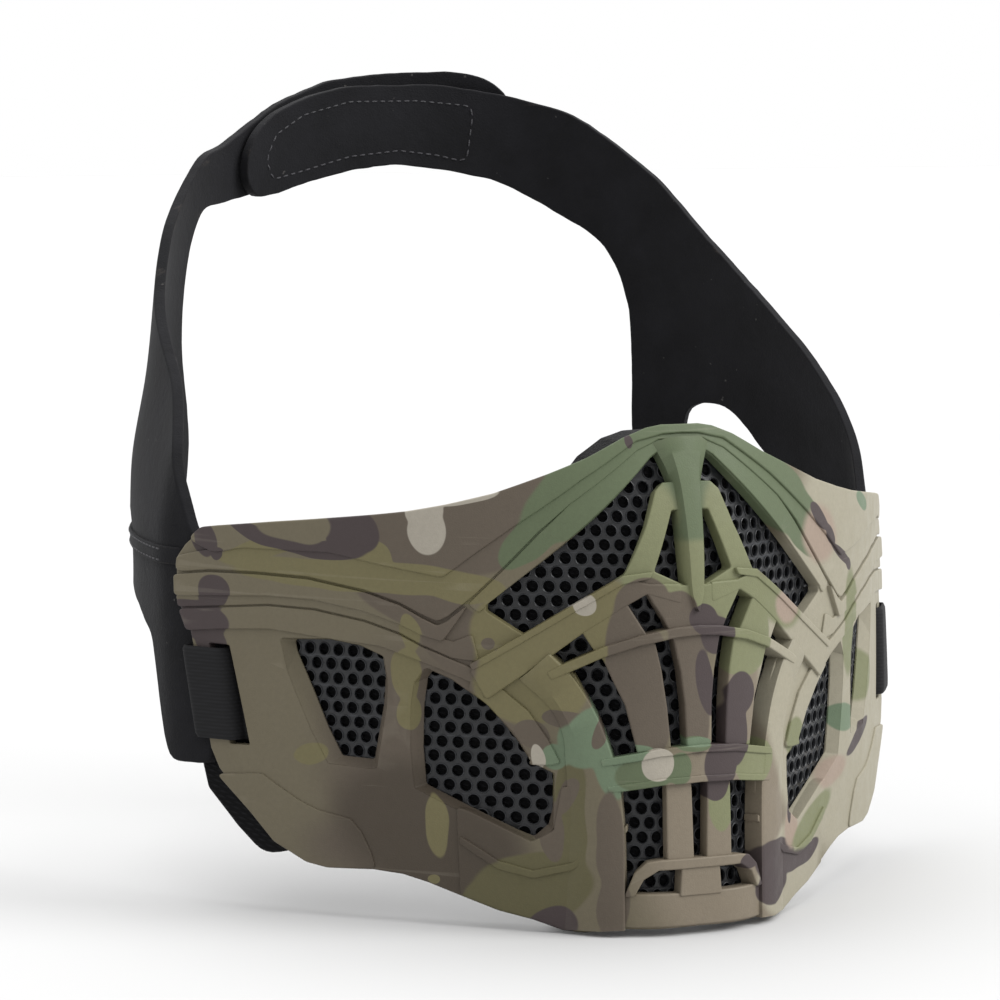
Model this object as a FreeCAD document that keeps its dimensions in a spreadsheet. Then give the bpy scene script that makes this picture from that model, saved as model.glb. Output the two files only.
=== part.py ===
"""Half face mask for field games: a camouflage moulding over perforated plates, held by a
two-part neoprene head strap with ear holes and a hook-and-loop closure.

Frame: millimetres, +Z up, the mask's front faces -Y and the wearer's left is +X. The origin is
the tip of the wearer's nose, on the plane of symmetry. Depths are written from the moulding's
foremost line, which lies FaceGap in front of the origin, so every sub-part is placed that far
forward.
"""
import FreeCAD, Part
import math
import os

import Sketcher
from FreeCAD import Rotation, Vector

DIMENSIONS = {
    "FaceGap": 20.0,          # moulding's foremost line to the wearer's nose tip
    "ShellWall": 2.6,         # moulding's wall
    "BandRise": 1.4,          # raised bands above the moulding's skin
    "MeshWall": 1.2,          # perforated plates
    "MeshMargin": 3.0,        # plate past the edge of its window
    "LinerWall": 3.0,         # fabric-faced foam lining
    "PadWall": 8.5,           # foam bar under the chin
    "StrapWall": 3.0,         # neoprene
    "PatchWall": 0.9,         # hook and loop patches
    "PatchLength": 46.0,
    "PatchHeight": 12.0,
    "TapeWall": 0.6,          # tape over the seams
    "TapeWidth": 9.0,
    "TabWall": 1.6,           # webbing
    "TabWidth": 23.5,
    "TabMiddle": -31.75,      # height of the webbing's middle
    "SlotX": 95.6,            # half width at the strap slots
    "SlotWidth": 3.6,
    "RearEdge": 101.9,        # half width of the moulding's rear edge at the slots
    "StrapHalf": 105.5,       # half width of the strap's path at the ears
    "StrapStart": 90.0,       # depth where the path starts to close in
    "StrapBack": 213.5,       # depth of the path at the back of the head
    "LayerStep": 6.5,         # right strap outside the left one at the back
    "PathPower": 2.25,        # fullness of the path's oval
    "Lean": 0.15,             # how far the strap leans in per millimetre of height
    "StrapFront": 99.5,       # depth where strap and side panel start
    "SeamHeight": 4.1,        # seam between strap and side panel
    "Gap": 0.15,              # play between webbing, plates and moulding
    "HeadRadius": 2.6,        # screws
    "HeadHeight": 1.2,
    "ShankRadius": 1.1,
    "ShankReach": 1.6,        # how far a shank goes into the moulding
}

doc = FreeCAD.newDocument("FaceMask")
sheet = doc.addObject("Spreadsheet::Sheet", "Dimensions")
for row, (word, value) in enumerate(DIMENSIONS.items(), start=1):
    sheet.set(f"A{row}", word)
    sheet.set(f"B{row}", str(value))
    sheet.setAlias(f"B{row}", word)
doc.recompute()
sub_parts = []


def dim(word):
    """A driving dimension, read from the sheet."""
    return float(sheet.get(word))


# ------------------------------------------------------------------ document objects

def feature(name, shape):
    item = doc.addObject("Part::Feature", name)
    item.Shape = shape
    return item


def pair(kind, name, base, tool):
    """A Part boolean of two objects: kind is Common or Cut."""
    item = doc.addObject("Part::" + kind, name)
    item.Base = base
    item.Tool = tool
    return item


def group(kind, name, items):
    """MultiFuse or Compound of several objects."""
    item = doc.addObject("Part::" + kind, name)
    if kind == "MultiFuse":
        item.Shapes = items
    else:
        item.Links = items
    return item


def mirror_image(name, source):
    """The same object on the other side of the plane of symmetry."""
    item = doc.addObject("Part::Mirroring", name)
    item.Source = source
    item.Normal = (1, 0, 0)
    return item


def outline(name, points, turn, place):
    """A closed sketch through the points, turned into its plane."""
    sketch = doc.addObject("Sketcher::SketchObject", name + "_outline")
    corners = [Vector(u, v, 0) for u, v in points]
    for start, end in zip(corners, corners[1:] + corners[:1]):
        sketch.addGeometry(Part.LineSegment(start, end), False)
    last = len(corners) - 1
    for i in range(last + 1):
        sketch.addConstraint(Sketcher.Constraint("Coincident", i, 2, 0 if i == last else i + 1, 1))
    sketch.Placement = FreeCAD.Placement(place, turn)
    return sketch


def prism(name, points, turn, place, direction, length):
    item = doc.addObject("Part::Extrusion", name)
    item.Base = outline(name, points, turn, place)
    item.DirMode = "Custom"
    item.Dir = direction
    item.LengthFwd = length
    item.Solid = True
    return item


def front_prism(name, points, start=-30.0, length=220.0):
    """An outline seen from the front, (half width, height), carried back along the depth."""
    turn = Rotation(Vector(1, 0, 0), 90)
    return prism(name, points, turn, Vector(0, start, 0), Vector(0, 1, 0), length)


def top_prism(name, points, low, high):
    """An outline seen from above, (half width, depth), carried up from one height to another."""
    return prism(name, points, Rotation(), Vector(0, 0, low), Vector(0, 0, 1), high - low)


def side_prism(name, points, sign):
    """An outline seen from the side, (depth, height), across one half of the head."""
    turn = Rotation(Vector(1, 1, 1), 120)
    return prism(name, points, turn, Vector(30 * sign, 0, 0), Vector(sign, 0, 0), 95.0)


def finish(item, name):
    """Put a finished sub-part in the wearer's frame under its own name."""
    item.Label = name
    item.setExpression("Placement.Base.y", "-Dimensions.FaceGap")
    sub_parts.append(item)
    return item


def finish_twins(item, name):
    """A left-hand sub-part and its right-hand twin."""
    finish(item, name + "_left")
    twin = mirror_image(name + "_twin", item)
    twin.Label = name + "_right"
    sub_parts.append(twin)


def mirrored(points):
    """A half outline continued on the other side of the plane of symmetry."""
    return list(points) + [(-x, z) for x, z in reversed(points) if x > 0.01]


# ------------------------------------------------------------------ the moulding's skin

STATIONS = (0.0, 12.0, 26.0, 40.0, 58.0, 75.0, 92.0, 107.0, 122.0)
# depth behind the foremost line at those half widths, level by level up the face
SECTIONS = {
    -95.0: (-4.5, -3.5, 6.0, 18.0, 34.0, 50.0, 69.0, 87.0, 106.0),
    -50.0: (-3.0, -1.5, 6.5, 17.0, 32.5, 49.0, 70.0, 90.0, 112.0),
    -15.0: (-1.0, 0.8, 8.0, 17.0, 30.0, 48.0, 72.0, 95.0, 120.0),
    10.0: (1.0, 2.0, 8.0, 17.0, 30.0, 48.0, 73.5, 99.0, 126.0),
    45.0: (11.0, 12.5, 17.0, 23.0, 35.0, 52.0, 78.0, 108.0, 142.0),
}


def skin_face(offset):
    """The moulding's skin moved outwards by offset, over its whole width."""
    widths = [-s for s in STATIONS[:0:-1]] + list(STATIONS)
    rows = []
    for level, depths in SECTIONS.items():
        line = list(depths[:0:-1]) + list(depths)
        row = []
        for i, (x, y) in enumerate(zip(widths, line)):
            ahead = min(i + 1, len(widths) - 1)
            before = max(i - 1, 0)
            slope = (line[ahead] - line[before]) / (widths[ahead] - widths[before])
            row.append(Vector(x, y - offset * math.hypot(1.0, slope), level))
        rows.append(row)
    surface = Part.BSplineSurface()
    surface.interpolate(rows)
    return surface.toShape()


def behind(name, offset, reach=150.0):
    """Everything behind the skin moved outwards by offset."""
    return feature(name, skin_face(offset).extrude(Vector(0, reach, 0)))


def layer(name, outer, inner):
    """The layer between two offsets of the skin."""
    return pair("Cut", name, behind(name + "_front", outer), behind(name + "_back", inner, 190.0))


# ------------------------------------------------------------------ outlines, (half width, height)

RIM = (
    (0, 40), (5, 40), (9, 39.3), (15, 37), (24, 32.2), (33, 28.3), (45, 23.4), (55, 20.4), (63, 18.4),
    (77, 15.8), (88, 13.6), (96, 11.8), (99, 11), (102.4, 6), (104, 2.5), (104.3, -8), (102.2, -16),
    (101.4, -24), (99.4, -46), (98, -51), (92.3, -62), (88, -69), (82, -73.5), (78, -74.5), (69, -74),
    (63, -74.7), (58, -76.4), (51, -79.5), (44, -82.5), (37, -84.3), (31, -86.6), (27, -86.8),
    (19, -85.4), (0, -85.2),
)
CHEEK_WINDOW = (
    (58.6, -22.1), (54.5, -24.2), (47.4, -30), (44.2, -34.1), (41, -38.8), (38, -44.5), (33.6, -47),
    (33.8, -56), (34.6, -60), (37.6, -63.4), (40.9, -62), (50.8, -56.6), (57, -53), (59.3, -51.6),
    (60.1, -42), (60.2, -31), (59.6, -24),
)
REAR_WINDOW = (
    (84.8, -16.4), (77.8, -15.7), (72.4, -16.7), (68.6, -18.8), (67.9, -24), (68.1, -31.4), (69.7, -46),
    (76, -45.6), (78.7, -38.5), (81.5, -29), (84.4, -19.4),
)
# windows that have a twin on the other side
TWIN_WINDOWS = {
    "nose_window": ((8.6, 32.2), (47.2, -4.6), (47.2, -6.2), (39.6, -11.8), (38.2, -11.4), (18, 3),
                    (10, 22), (5.6, 26.4)),
    "fork_window": ((3.2, 19.2), (5, 19.2), (10.6, 4.4), (2.4, 0.2)),
    "corner_window": ((33.2, -17), (26.6, -10.8), (24.2, -15), (30.6, -19.2)),
    "upper_slot": ((17.1, -3.3), (12.6, -1), (8.5, -7.5), (8.6, -9.8), (12.8, -11)),
    "inner_slot": ((10.6, -13.6), (6.3, -12.6), (4.6, -20.7), (3.7, -29), (3.5, -38), (7.4, -38.4),
                   (8.1, -29.5), (9.2, -20.5)),
    "outer_slot": ((28.4, -20.6), (22, -17.8), (20.2, -22.5), (17.5, -29), (15.2, -39), (20.8, -41),
                   (21.6, -36), (24, -28)),
    "lower_slot": ((8.8, -49.3), (18.5, -51), (18.4, -76), (16.2, -70.9), (13.7, -67.9), (8.8, -67.8)),
    "chin_slot": ((5.4, -70.9), (10.5, -70.8), (13.9, -73), (15.5, -76.2), (5.7, -76.6)),
    "cheek_window": CHEEK_WINDOW,
    "rear_window": REAR_WINDOW,
}
CENTRE_SLOT = ((-2.3, -48.6), (2.3, -48.6), (1.8, -67.5), (-1.8, -67.5))
# raised bands that run across the plane of symmetry, as half outlines
MIDDLE_BANDS = {
    "brow_band": ((0, 40), (9, 39.3), (24, 32.2), (45, 23.4), (63, 18.4), (88, 13.6), (99, 11), (97, 4.8),
                  (85, 6.6), (72, 6), (57, 2.6), (49, 9), (36, 19.5), (12, 35), (0, 36)),
    "mouth_band": ((0, -38), (21, -42), (20.4, -50.5), (0, -49)),
    "chin_band": ((0, -77.2), (22.5, -77.4), (44, -75), (52, -72), (51, -79.5), (37, -84.3), (27, -86.8),
                  (0, -85.2)),
}
TWIN_BANDS = {
    "cheek_band": ((104, -3), (90, -0.5), (79, -0.5), (65, -5.5), (57, -10), (49, -2.5), (47.5, -7),
                   (39, -15), (49, -23), (60, -18), (74, -14.5), (90, -13.5), (101, -15)),
    "mouth_post": ((36, -18), (31, -24), (27, -33), (24, -46), (22.5, -56), (22.5, -78), (18.7, -78),
                   (18.7, -56), (20, -44), (24, -31), (30, -20)),
}
FRONT_PLATE = ((0, 36.6), (8, 36), (51.5, -3.5), (51.5, -8), (41, -15), (35, -21), (29, -26), (25, -37),
               (22.2, -50), (21.6, -80), (0, -80))
FRONT_LINING = ((0, 26.6), (8.6, 25.4), (16.4, 20.9), (23.6, 15.8), (28.6, 18.2), (33, 14), (38, 9), (48, -1.5),
                (49.5, -4), (43, -14), (34.5, -30), (29, -44), (29, -66), (20, -74), (0, -74))
CHEEK_LINING = ((101, 2), (64, 10), (56, 4), (45, -14), (36, -30), (31, -44), (31, -66), (44, -76),
                (66, -70), (84, -68), (96, -50), (98.5, -46), (98.5, -18), (101, -12))
NOSE_PAD = ((0, 39.2), (6, 39), (12, 37.2), (18.6, 32.6), (24, 26), (27.5, 19.5), (24, 17), (17, 22), (9, 26.4),
            (0, 27.6))
# the nose pad seen from above, (half width, depth): its back is hollowed for the bridge of the nose
BRIDGE = ((0, -10), (34, -10), (34, 38), (24, 36.5), (16, 34.4), (8, 32.4), (0, 31.5))
CHIN_PAD = ((0, -75.2), (27, -75.2), (34, -78), (36, -82), (26, -84.5), (0, -83.5))
# screw places, each with a twin
SCREWS = (
    (4.0, 33.8), (50.0, -10.5), (30.0, 15.6), (21.0, -59.0), (21.0, -79.0), (62.0, -27.0), (62.0, -47.0),
    (36.0, -30.0), (41.0, -65.6), (65.9, -16.2), (87.2, -20.0), (66.7, -44.0), (79.4, -46.6),
)


# ------------------------------------------------------------------ screws

def skin_point(x, z):
    """The point of the skin at a half width and height."""
    line = Part.makeLine(Vector(x, -40, z), Vector(x, 160, z))
    return SKIN.distToShape(line)[1][0][0]


def rod(name, radius, height, foot, direction):
    """A cylinder whose radius and height follow the sheet."""
    item = doc.addObject("Part::Cylinder", name)
    item.setExpression("Radius", radius)
    item.setExpression("Height", height)
    item.Placement = FreeCAD.Placement(foot, Rotation(Vector(0, 0, 1), direction))
    return item


def screws():
    """Pan-head screws driven from the inside; their shanks hold the plates to the moulding."""
    seat_depth = dim("ShellWall") + dim("MeshWall") + dim("Gap")
    shank_length = dim("MeshWall") + dim("Gap") + dim("ShankReach")
    fasteners = []
    shanks = []
    for i, (x, z) in enumerate(SCREWS):
        across = (skin_point(x + 1, z).y - skin_point(x - 1, z).y) / 2
        upwards = (skin_point(x, z + 1).y - skin_point(x, z - 1).y) / 2
        inward = Vector(-across, 1, -upwards).normalize()
        seat = skin_point(x, z) + inward * seat_depth
        head = rod(f"head_{i}", "Dimensions.HeadRadius", "Dimensions.HeadHeight", seat, inward)
        shank = rod(f"shank_{i}", "Dimensions.ShankRadius",
                    "Dimensions.MeshWall + Dimensions.Gap + Dimensions.ShankReach",
                    seat - inward * shank_length, inward)
        screw = group("MultiFuse", f"screw_{i}", [head, shank])
        fasteners += [screw, mirror_image(f"screw_twin_{i}", screw)]
        shanks += [shank, mirror_image(f"shank_twin_{i}", shank)]
    finish(group("Compound", "screw_set", fasteners), "mesh_screws")
    return group("Compound", "screw_tools", fasteners), group("Compound", "shanks", shanks)


# ------------------------------------------------------------------ moulding, plates and lining

def slot_outline(half_width, extra):
    middle = dim("TabMiddle")
    reach = dim("TabWidth") / 2 + extra
    left = dim("SlotX") - half_width
    right = dim("SlotX") + half_width
    return ((left, middle - reach), (right, middle - reach), (right, middle + reach), (left, middle + reach))


def outer_shell(shanks):
    """One moulding: the skin with its raised bands, windows, strap slots and screw holes."""
    rim = front_prism("rim", mirrored(RIM))
    bands = [front_prism(name, mirrored(points)) for name, points in MIDDLE_BANDS.items()]
    for name, points in TWIN_BANDS.items():
        band = front_prism(name, points)
        bands += [band, mirror_image(name + "_twin", band)]
    raised = pair("Common", "raised", behind("behind_bands", dim("BandRise")),
                  group("MultiFuse", "bands", bands))
    block = group("MultiFuse", "block", [behind("behind_skin", 0.0), raised])
    trimmed = pair("Common", "trimmed", block, rim)
    hollow = pair("Cut", "hollow", trimmed, behind("behind_wall", -dim("ShellWall"), 190.0))
    windows = [front_prism("centre_slot", CENTRE_SLOT)]
    twins = dict(TWIN_WINDOWS, strap_slot=slot_outline(dim("SlotWidth") / 2, 1.0))
    for name, points in twins.items():
        window = front_prism(name, points)
        windows += [window, mirror_image(name + "_twin", window)]
    pierced = pair("Cut", "pierced", hollow, group("Compound", "windows", windows))
    return finish(pair("Cut", "shell", pierced, shanks), "outer_shell")


def widened(points, margin):
    """A window's outline moved outwards all round, with mitred corners."""
    wire = Part.makePolygon([Vector(x, z, 0) for x, z in points + points[:1]])
    wide = wire.makeOffset2D(margin, 2)
    return [(v.X, v.Y) for v in wide.OrderedVertexes]


def plates(screws_in_place):
    """Perforated plates behind the windows, formed to the moulding's inside."""
    start = -dim("ShellWall") - dim("Gap")
    sheet_metal = layer("plate_layer", start, start - dim("MeshWall"))
    margin = dim("MeshMargin")
    blank = pair("Common", "front_blank", sheet_metal, front_prism("front_plate", mirrored(FRONT_PLATE)))
    finish(pair("Cut", "front_plate_pierced", blank, screws_in_place), "front_mesh")
    for name, window in (("cheek_front_mesh", CHEEK_WINDOW), ("cheek_rear_mesh", REAR_WINDOW)):
        blank = pair("Common", name + "_blank", sheet_metal,
                     front_prism(name + "_edge", widened(window, margin)))
        finish_twins(pair("Cut", name + "_pierced", blank, screws_in_place), name)


def linings(screws_in_place):
    """Fabric-faced foam behind the plates, hollowed for the screw heads."""
    start = -dim("ShellWall") - dim("MeshWall") - 4 * dim("Gap") - dim("HeadHeight")
    foam = layer("lining_layer", start, start - dim("LinerWall"))
    front = front_prism("front_lining", mirrored(FRONT_LINING))
    blank = pair("Common", "front_lining_blank", foam, front)
    finish(pair("Cut", "front_lining_cut", blank, screws_in_place), "front_liner")
    blank = pair("Common", "cheek_lining_blank", foam, front_prism("cheek_lining", CHEEK_LINING))
    finish_twins(pair("Cut", "cheek_lining_cut", blank, screws_in_place), "cheek_liner")


def pads(screws_in_place):
    """A foam block in front of the bridge of the nose and a foam bar under the chin."""
    start = -dim("ShellWall") - dim("MeshWall") - 2 * dim("Gap") - dim("HeadHeight")
    block = pair("Common", "nose_pad_block", behind("nose_pad_front", start),
                 top_prism("bridge", mirrored(BRIDGE), 10.0, 45.0))
    bar = layer("chin_pad_bar", start, start - dim("PadWall"))
    for name, foam, points in (("nose_pad", block, NOSE_PAD), ("chin_pad", bar, CHIN_PAD)):
        blank = pair("Common", name + "_blank", foam, front_prism(name + "_edge", mirrored(points)))
        finish(pair("Cut", name + "_cut", blank, screws_in_place), name)


def strap_tabs():
    """Webbing loops through the slots and round the moulding's rear edge."""
    wall = dim("ShellWall")
    web = dim("TabWall")
    gap = dim("Gap")
    front = dim("SlotX") - web / 2
    rear = dim("RearEdge") + 0.5
    low = dim("TabMiddle") - dim("TabWidth") / 2
    high = low + dim("TabWidth")
    around = ((front, low), (rear + web, low), (rear + web, high), (front, high))
    inside = ((front + web, low - 1), (rear, low - 1), (rear, high + 1), (front + web, high + 1))
    outer = pair("Common", "tab_outer", layer("tab_layer", gap + web, -wall - gap - web),
                 front_prism("tab_around", around))
    inner = pair("Common", "tab_inner", layer("tab_gap", gap, -wall - gap), front_prism("tab_inside", inside))
    finish_twins(pair("Cut", "tab", outer, inner), "strap_tab")


# ------------------------------------------------------------------ head strap, (depth, height)

FRONT = dim("StrapFront")
LEFT_SIDE = (
    (FRONT, 4.4), (FRONT, 26.5), (107, 36), (119, 48), (137, 63), (157, 81), (171, 97), (182, 107),
    (193, 116), (196, 118), (196, 86.5), (188, 79), (184, 70), (182, 58), (182.5, 43), (184, 23), (184, 4.4),
)
LEFT_EAR = (
    (164, 31.5), (168.5, 29), (170, 23), (172, 12), (168, 4), (126, 4), (130.7, 9), (136.5, 12.5), (143, 18),
    (148.5, 24.5), (152.5, 29), (158, 31.5),
)
LEFT_PANEL = ((FRONT, 3.8), (184, 3.8), (178, -6), (152, -9), (126, -14), (110, -20), (103, -31), (FRONT, -41))
RIGHT_SIDE = (
    (FRONT, 4.4), (FRONT, 26.5), (107, 34), (119, 44), (137, 55), (157, 70), (169, 84), (183, 95),
    (196, 106), (200, 111), (200, 92), (192, 89), (189, 81), (187, 70), (187, 58), (189, 48), (194, 34),
    (197, 22), (197, 4.4),
)
RIGHT_EAR = ((180, 31), (188, 27), (192, 18), (191, 8), (187, 4), (150, 4), (153, 11), (161, 19), (171, 28))
RIGHT_PANEL = ((FRONT, 3.8), (197, 3.8), (190, -6), (160, -9), (126, -14), (110, -20), (103, -31), (FRONT, -41))
# bands across the back of the head, (width, height)
LEFT_BACK = (
    (54, 115), (39, 121), (20, 124), (-8, 124), (-22, 121), (-34, 116.5), (-41, 111), (-45, 103.5),
    (-44.5, 96), (-41, 92), (-34, 92.6), (-24, 95.5), (-7, 99.5), (7, 101), (24, 99), (38, 96), (54, 85.5),
)
RIGHT_BACK = (
    (-54, 104), (-43, 112), (-30, 119), (-12, 125.5), (4, 127.5), (16, 128), (26, 128.3), (35, 127), (41, 123),
    (44, 117), (43, 109), (36, 103.5), (24, 102), (-8, 101), (-24, 97), (-40, 93), (-54, 91),
)


def path_wire(back, inset, level):
    """The strap's way round the head at one level: an oval behind the ears, closed in front."""
    half = dim("StrapHalf") - dim("Lean") * max(level - 10.0, 0.0) - inset
    start = dim("StrapStart")
    reach = back - inset - start
    power = 2 / dim("PathPower")
    steps = 24
    curve = []
    for i in range(steps + 1):
        across = math.cos(math.pi * i / steps)
        along = math.sin(math.pi * i / steps)
        x = half * math.copysign(abs(across) ** power, across)
        curve.append(Vector(x, start + reach * abs(along) ** power, level))
    spline = Part.BSplineCurve()
    spline.interpolate(curve)
    front = start - 12.0
    ends = [curve[-1], Vector(-half, front, level), Vector(half, front, level), curve[0]]
    return Part.Wire([spline.toShape()] + Part.makePolygon(ends).Edges)


def path_layer(name, back, outer, inner):
    """A layer of the strap's path between two insets, without its flat front."""
    spaces = []
    for inset in (outer, inner):
        levels = [path_wire(back, inset, level) for level in (-60.0, 10.0, 135.0)]
        lower = Part.makeLoft(levels[:2], True, True)
        spaces.append(lower.fuse(Part.makeLoft(levels[1:], True, True)))
    keep = Part.makeBox(260, 200, 240, Vector(-130, dim("StrapStart") - 4.0, -80))
    return feature(name, spaces[0].cut(spaces[1]).common(keep))


def strap(side, back, sign, band, outline_side, outline_ear, outline_back, outline_panel):
    """One side's strap, with two legs round the ear, and the panel sewn below it."""
    legs = pair("Common", side + "_legs", band, side_prism(side + "_leg_edge", outline_side, sign))
    split = pair("Cut", side + "_split", legs, side_prism(side + "_ear", outline_ear, sign))
    across = pair("Common", side + "_across", band,
                  front_prism(side + "_band_edge", outline_back, 150.0, 90.0))
    finish(group("MultiFuse", side + "_strap_whole", [split, across]), "strap_" + side)
    panel = side_prism(side + "_panel_edge", outline_panel, sign)
    finish(pair("Common", side + "_panel", band, panel), "side_panel_" + side)

    wall = dim("StrapWall")
    tape = path_layer(side + "_tape_layer", back, wall + 0.05, wall + 0.05 + dim("TapeWall"))
    low = dim("SeamHeight") - dim("TapeWidth") / 2
    high = low + dim("TapeWidth")
    strip = side_prism(side + "_tape_edge", ((101, low), (136, low), (136, high), (101, high)), sign)
    finish(pair("Common", side + "_tape", tape, strip), "seam_tape_" + side)


def patch(name, band, middle, level):
    """A hook or loop patch sewn on one face of a strap, round its middle at that level."""
    block = doc.addObject("Part::Box", name + "_block")
    block.setExpression("Length", "Dimensions.PatchLength")
    block.setExpression("Height", "Dimensions.PatchHeight")
    block.Width = 90
    block.Placement.Base = Vector(middle - dim("PatchLength") / 2, 150, level - dim("PatchHeight") / 2)
    finish(pair("Common", name + "_cut", band, block), name)


SKIN = skin_face(0.0)
screw_tools, shank_tools = screws()
outer_shell(shank_tools)
plates(screw_tools)
linings(screw_tools)
pads(screw_tools)
strap_tabs()

left_back = dim("StrapBack")
right_back = left_back + dim("LayerStep")
neoprene = dim("StrapWall")
pile = dim("PatchWall")
strap("left", left_back, 1, path_layer("left_band", left_back, 0.0, neoprene),
      LEFT_SIDE, LEFT_EAR, LEFT_BACK, LEFT_PANEL)
strap("right", right_back, -1, path_layer("right_band", right_back, 0.0, neoprene),
      RIGHT_SIDE, RIGHT_EAR, RIGHT_BACK, RIGHT_PANEL)
patch("hook_patch", path_layer("hook_layer", left_back, -pile, 0.0), -15.0, 107.0)
patch("loop_patch", path_layer("loop_layer", right_back, neoprene, neoprene + pile), -14.0, 109.0)

doc.recompute()
for item in doc.Objects:
    if {"Invalid", "Error"} & set(item.State):
        raise RuntimeError(f"{item.Label} failed to build")
os.makedirs("parts", exist_ok=True)
for item in sub_parts:
    if item.Shape.isNull() or not item.Shape.isValid():
        raise RuntimeError(f"{item.Label} is not a valid shape")
    print(item.Label, len(item.Shape.Solids), "solids,", round(item.Shape.Volume), "mm3")
    item.Shape.exportStep(f"parts/{item.Label}.step")
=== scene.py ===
import math

import bmesh
import bpy
import numpy as np
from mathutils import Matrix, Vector


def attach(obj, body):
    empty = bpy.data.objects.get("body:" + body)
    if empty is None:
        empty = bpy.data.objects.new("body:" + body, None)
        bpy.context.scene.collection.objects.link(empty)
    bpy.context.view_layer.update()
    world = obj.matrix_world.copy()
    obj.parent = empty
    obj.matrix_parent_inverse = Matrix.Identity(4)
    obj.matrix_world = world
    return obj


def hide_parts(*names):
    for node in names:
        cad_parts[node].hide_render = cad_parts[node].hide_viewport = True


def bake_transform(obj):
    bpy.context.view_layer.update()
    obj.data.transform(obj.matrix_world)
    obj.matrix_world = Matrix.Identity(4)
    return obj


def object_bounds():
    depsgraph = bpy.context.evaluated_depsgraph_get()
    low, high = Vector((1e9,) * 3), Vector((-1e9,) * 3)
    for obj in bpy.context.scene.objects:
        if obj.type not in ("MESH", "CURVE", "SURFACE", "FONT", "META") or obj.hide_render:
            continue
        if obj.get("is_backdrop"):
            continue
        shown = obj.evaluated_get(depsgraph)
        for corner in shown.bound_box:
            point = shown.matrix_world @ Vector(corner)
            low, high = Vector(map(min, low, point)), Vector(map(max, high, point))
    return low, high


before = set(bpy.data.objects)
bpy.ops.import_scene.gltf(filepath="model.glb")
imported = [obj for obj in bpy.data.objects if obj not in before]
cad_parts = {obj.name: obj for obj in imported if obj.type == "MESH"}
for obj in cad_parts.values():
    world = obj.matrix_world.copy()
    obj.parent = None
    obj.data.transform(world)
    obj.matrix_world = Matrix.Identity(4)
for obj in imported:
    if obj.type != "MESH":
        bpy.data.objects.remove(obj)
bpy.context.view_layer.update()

MM = 0.001
FACE_GAP = 20.0            # the moulding's foremost line lies this far in front of the origin

SHELL_BACK = -3.2          # back of the moulding's wall, below its skin
PLATE_FRONT = -3.5         # perforated plates
PLATE_WALL = 1.0
LINER_FRONT = -5.4         # foam lining behind them
LINER_WALL = 3.0
PAD_WALL = 8.5             # foam bar under the chin
NOSE_WALL = 18.0           # foam block at the bridge of the nose
PITCH = 4.25               # perforation: spacing of the holes
HOLE = 1.45                # and their radius
STRAP_WALL = 3.0
TAB_MIDDLE = -31.75        # level of the webbing tab's middle
TAB_WIDTH = 23.5
SLOT = 95.6                # half width at the middle of the tab's slot
REAR_EDGE = 100.6          # and at the moulding's rear edge beside it
SEAM = 4.1                 # height of the seam between strap and side panel
CELL = 3.0                 # a plate's cells and an outline's longest edge, where nothing else is said


# ------------------------------------------------------------------ the two surfaces

STATIONS = np.array((0.0, 12.0, 26.0, 40.0, 58.0, 75.0, 92.0, 107.0, 122.0))
LEVELS = np.array((-95.0, -50.0, -15.0, 10.0, 45.0))
DEPTHS = np.array((
    (-4.5, -3.5, 6.0, 18.0, 34.0, 50.0, 69.0, 87.0, 106.0),
    (-3.0, -1.5, 6.5, 17.0, 32.5, 49.0, 70.0, 90.0, 112.0),
    (-1.0, 0.8, 8.0, 17.0, 30.0, 48.0, 72.0, 95.0, 120.0),
    (1.0, 2.0, 8.0, 17.0, 30.0, 48.0, 73.5, 99.0, 126.0),
    (11.0, 12.5, 17.0, 23.0, 35.0, 52.0, 78.0, 108.0, 142.0),
))
WIDTHS = np.concatenate((-STATIONS[:0:-1], STATIONS))
GRID = np.concatenate((DEPTHS[:, :0:-1], DEPTHS), axis=1)


def spline_weights(knots, at):
    """Weights of the knots' values in a natural cubic spline at each place."""
    count = len(knots)
    step = np.diff(knots)
    bend = np.eye(count)
    pull = np.zeros((count, count))
    for i in range(1, count - 1):
        bend[i, i - 1:i + 2] = step[i - 1], 2 * (step[i - 1] + step[i]), step[i]
        pull[i, i - 1:i + 2] = 6 / step[i - 1], -6 / step[i - 1] - 6 / step[i], 6 / step[i]
    second = np.linalg.solve(bend, pull)
    k = np.clip(np.searchsorted(knots, at) - 1, 0, count - 2)
    width = step[k]
    a = ((knots[k + 1] - at) / width)[:, None]
    b = 1 - a
    same = np.eye(count)
    curved = (a ** 3 - a) * second[k] + (b ** 3 - b) * second[k + 1]
    return a * same[k] + b * same[k + 1] + curved * (width ** 2 / 6)[:, None]


def skin_depth(x, z):
    """Depth of the moulding's skin behind its foremost line."""
    return np.einsum("ni,nj,ij->n", spline_weights(LEVELS, z), spline_weights(WIDTHS, x), GRID)


GIRTH_X = np.arange(-121.0, 121.1, 0.25)
GIRTH_Y = skin_depth(GIRTH_X, np.full(len(GIRTH_X), -30.0))
GIRTH = np.concatenate(([0.0], np.cumsum(np.hypot(np.diff(GIRTH_X), np.diff(GIRTH_Y)))))
GIRTH -= np.interp(0.0, GIRTH_X, GIRTH)


def along(x):
    """Distance along the skin from its middle, for a half width."""
    return float(np.interp(x, GIRTH_X, GIRTH))


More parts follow.
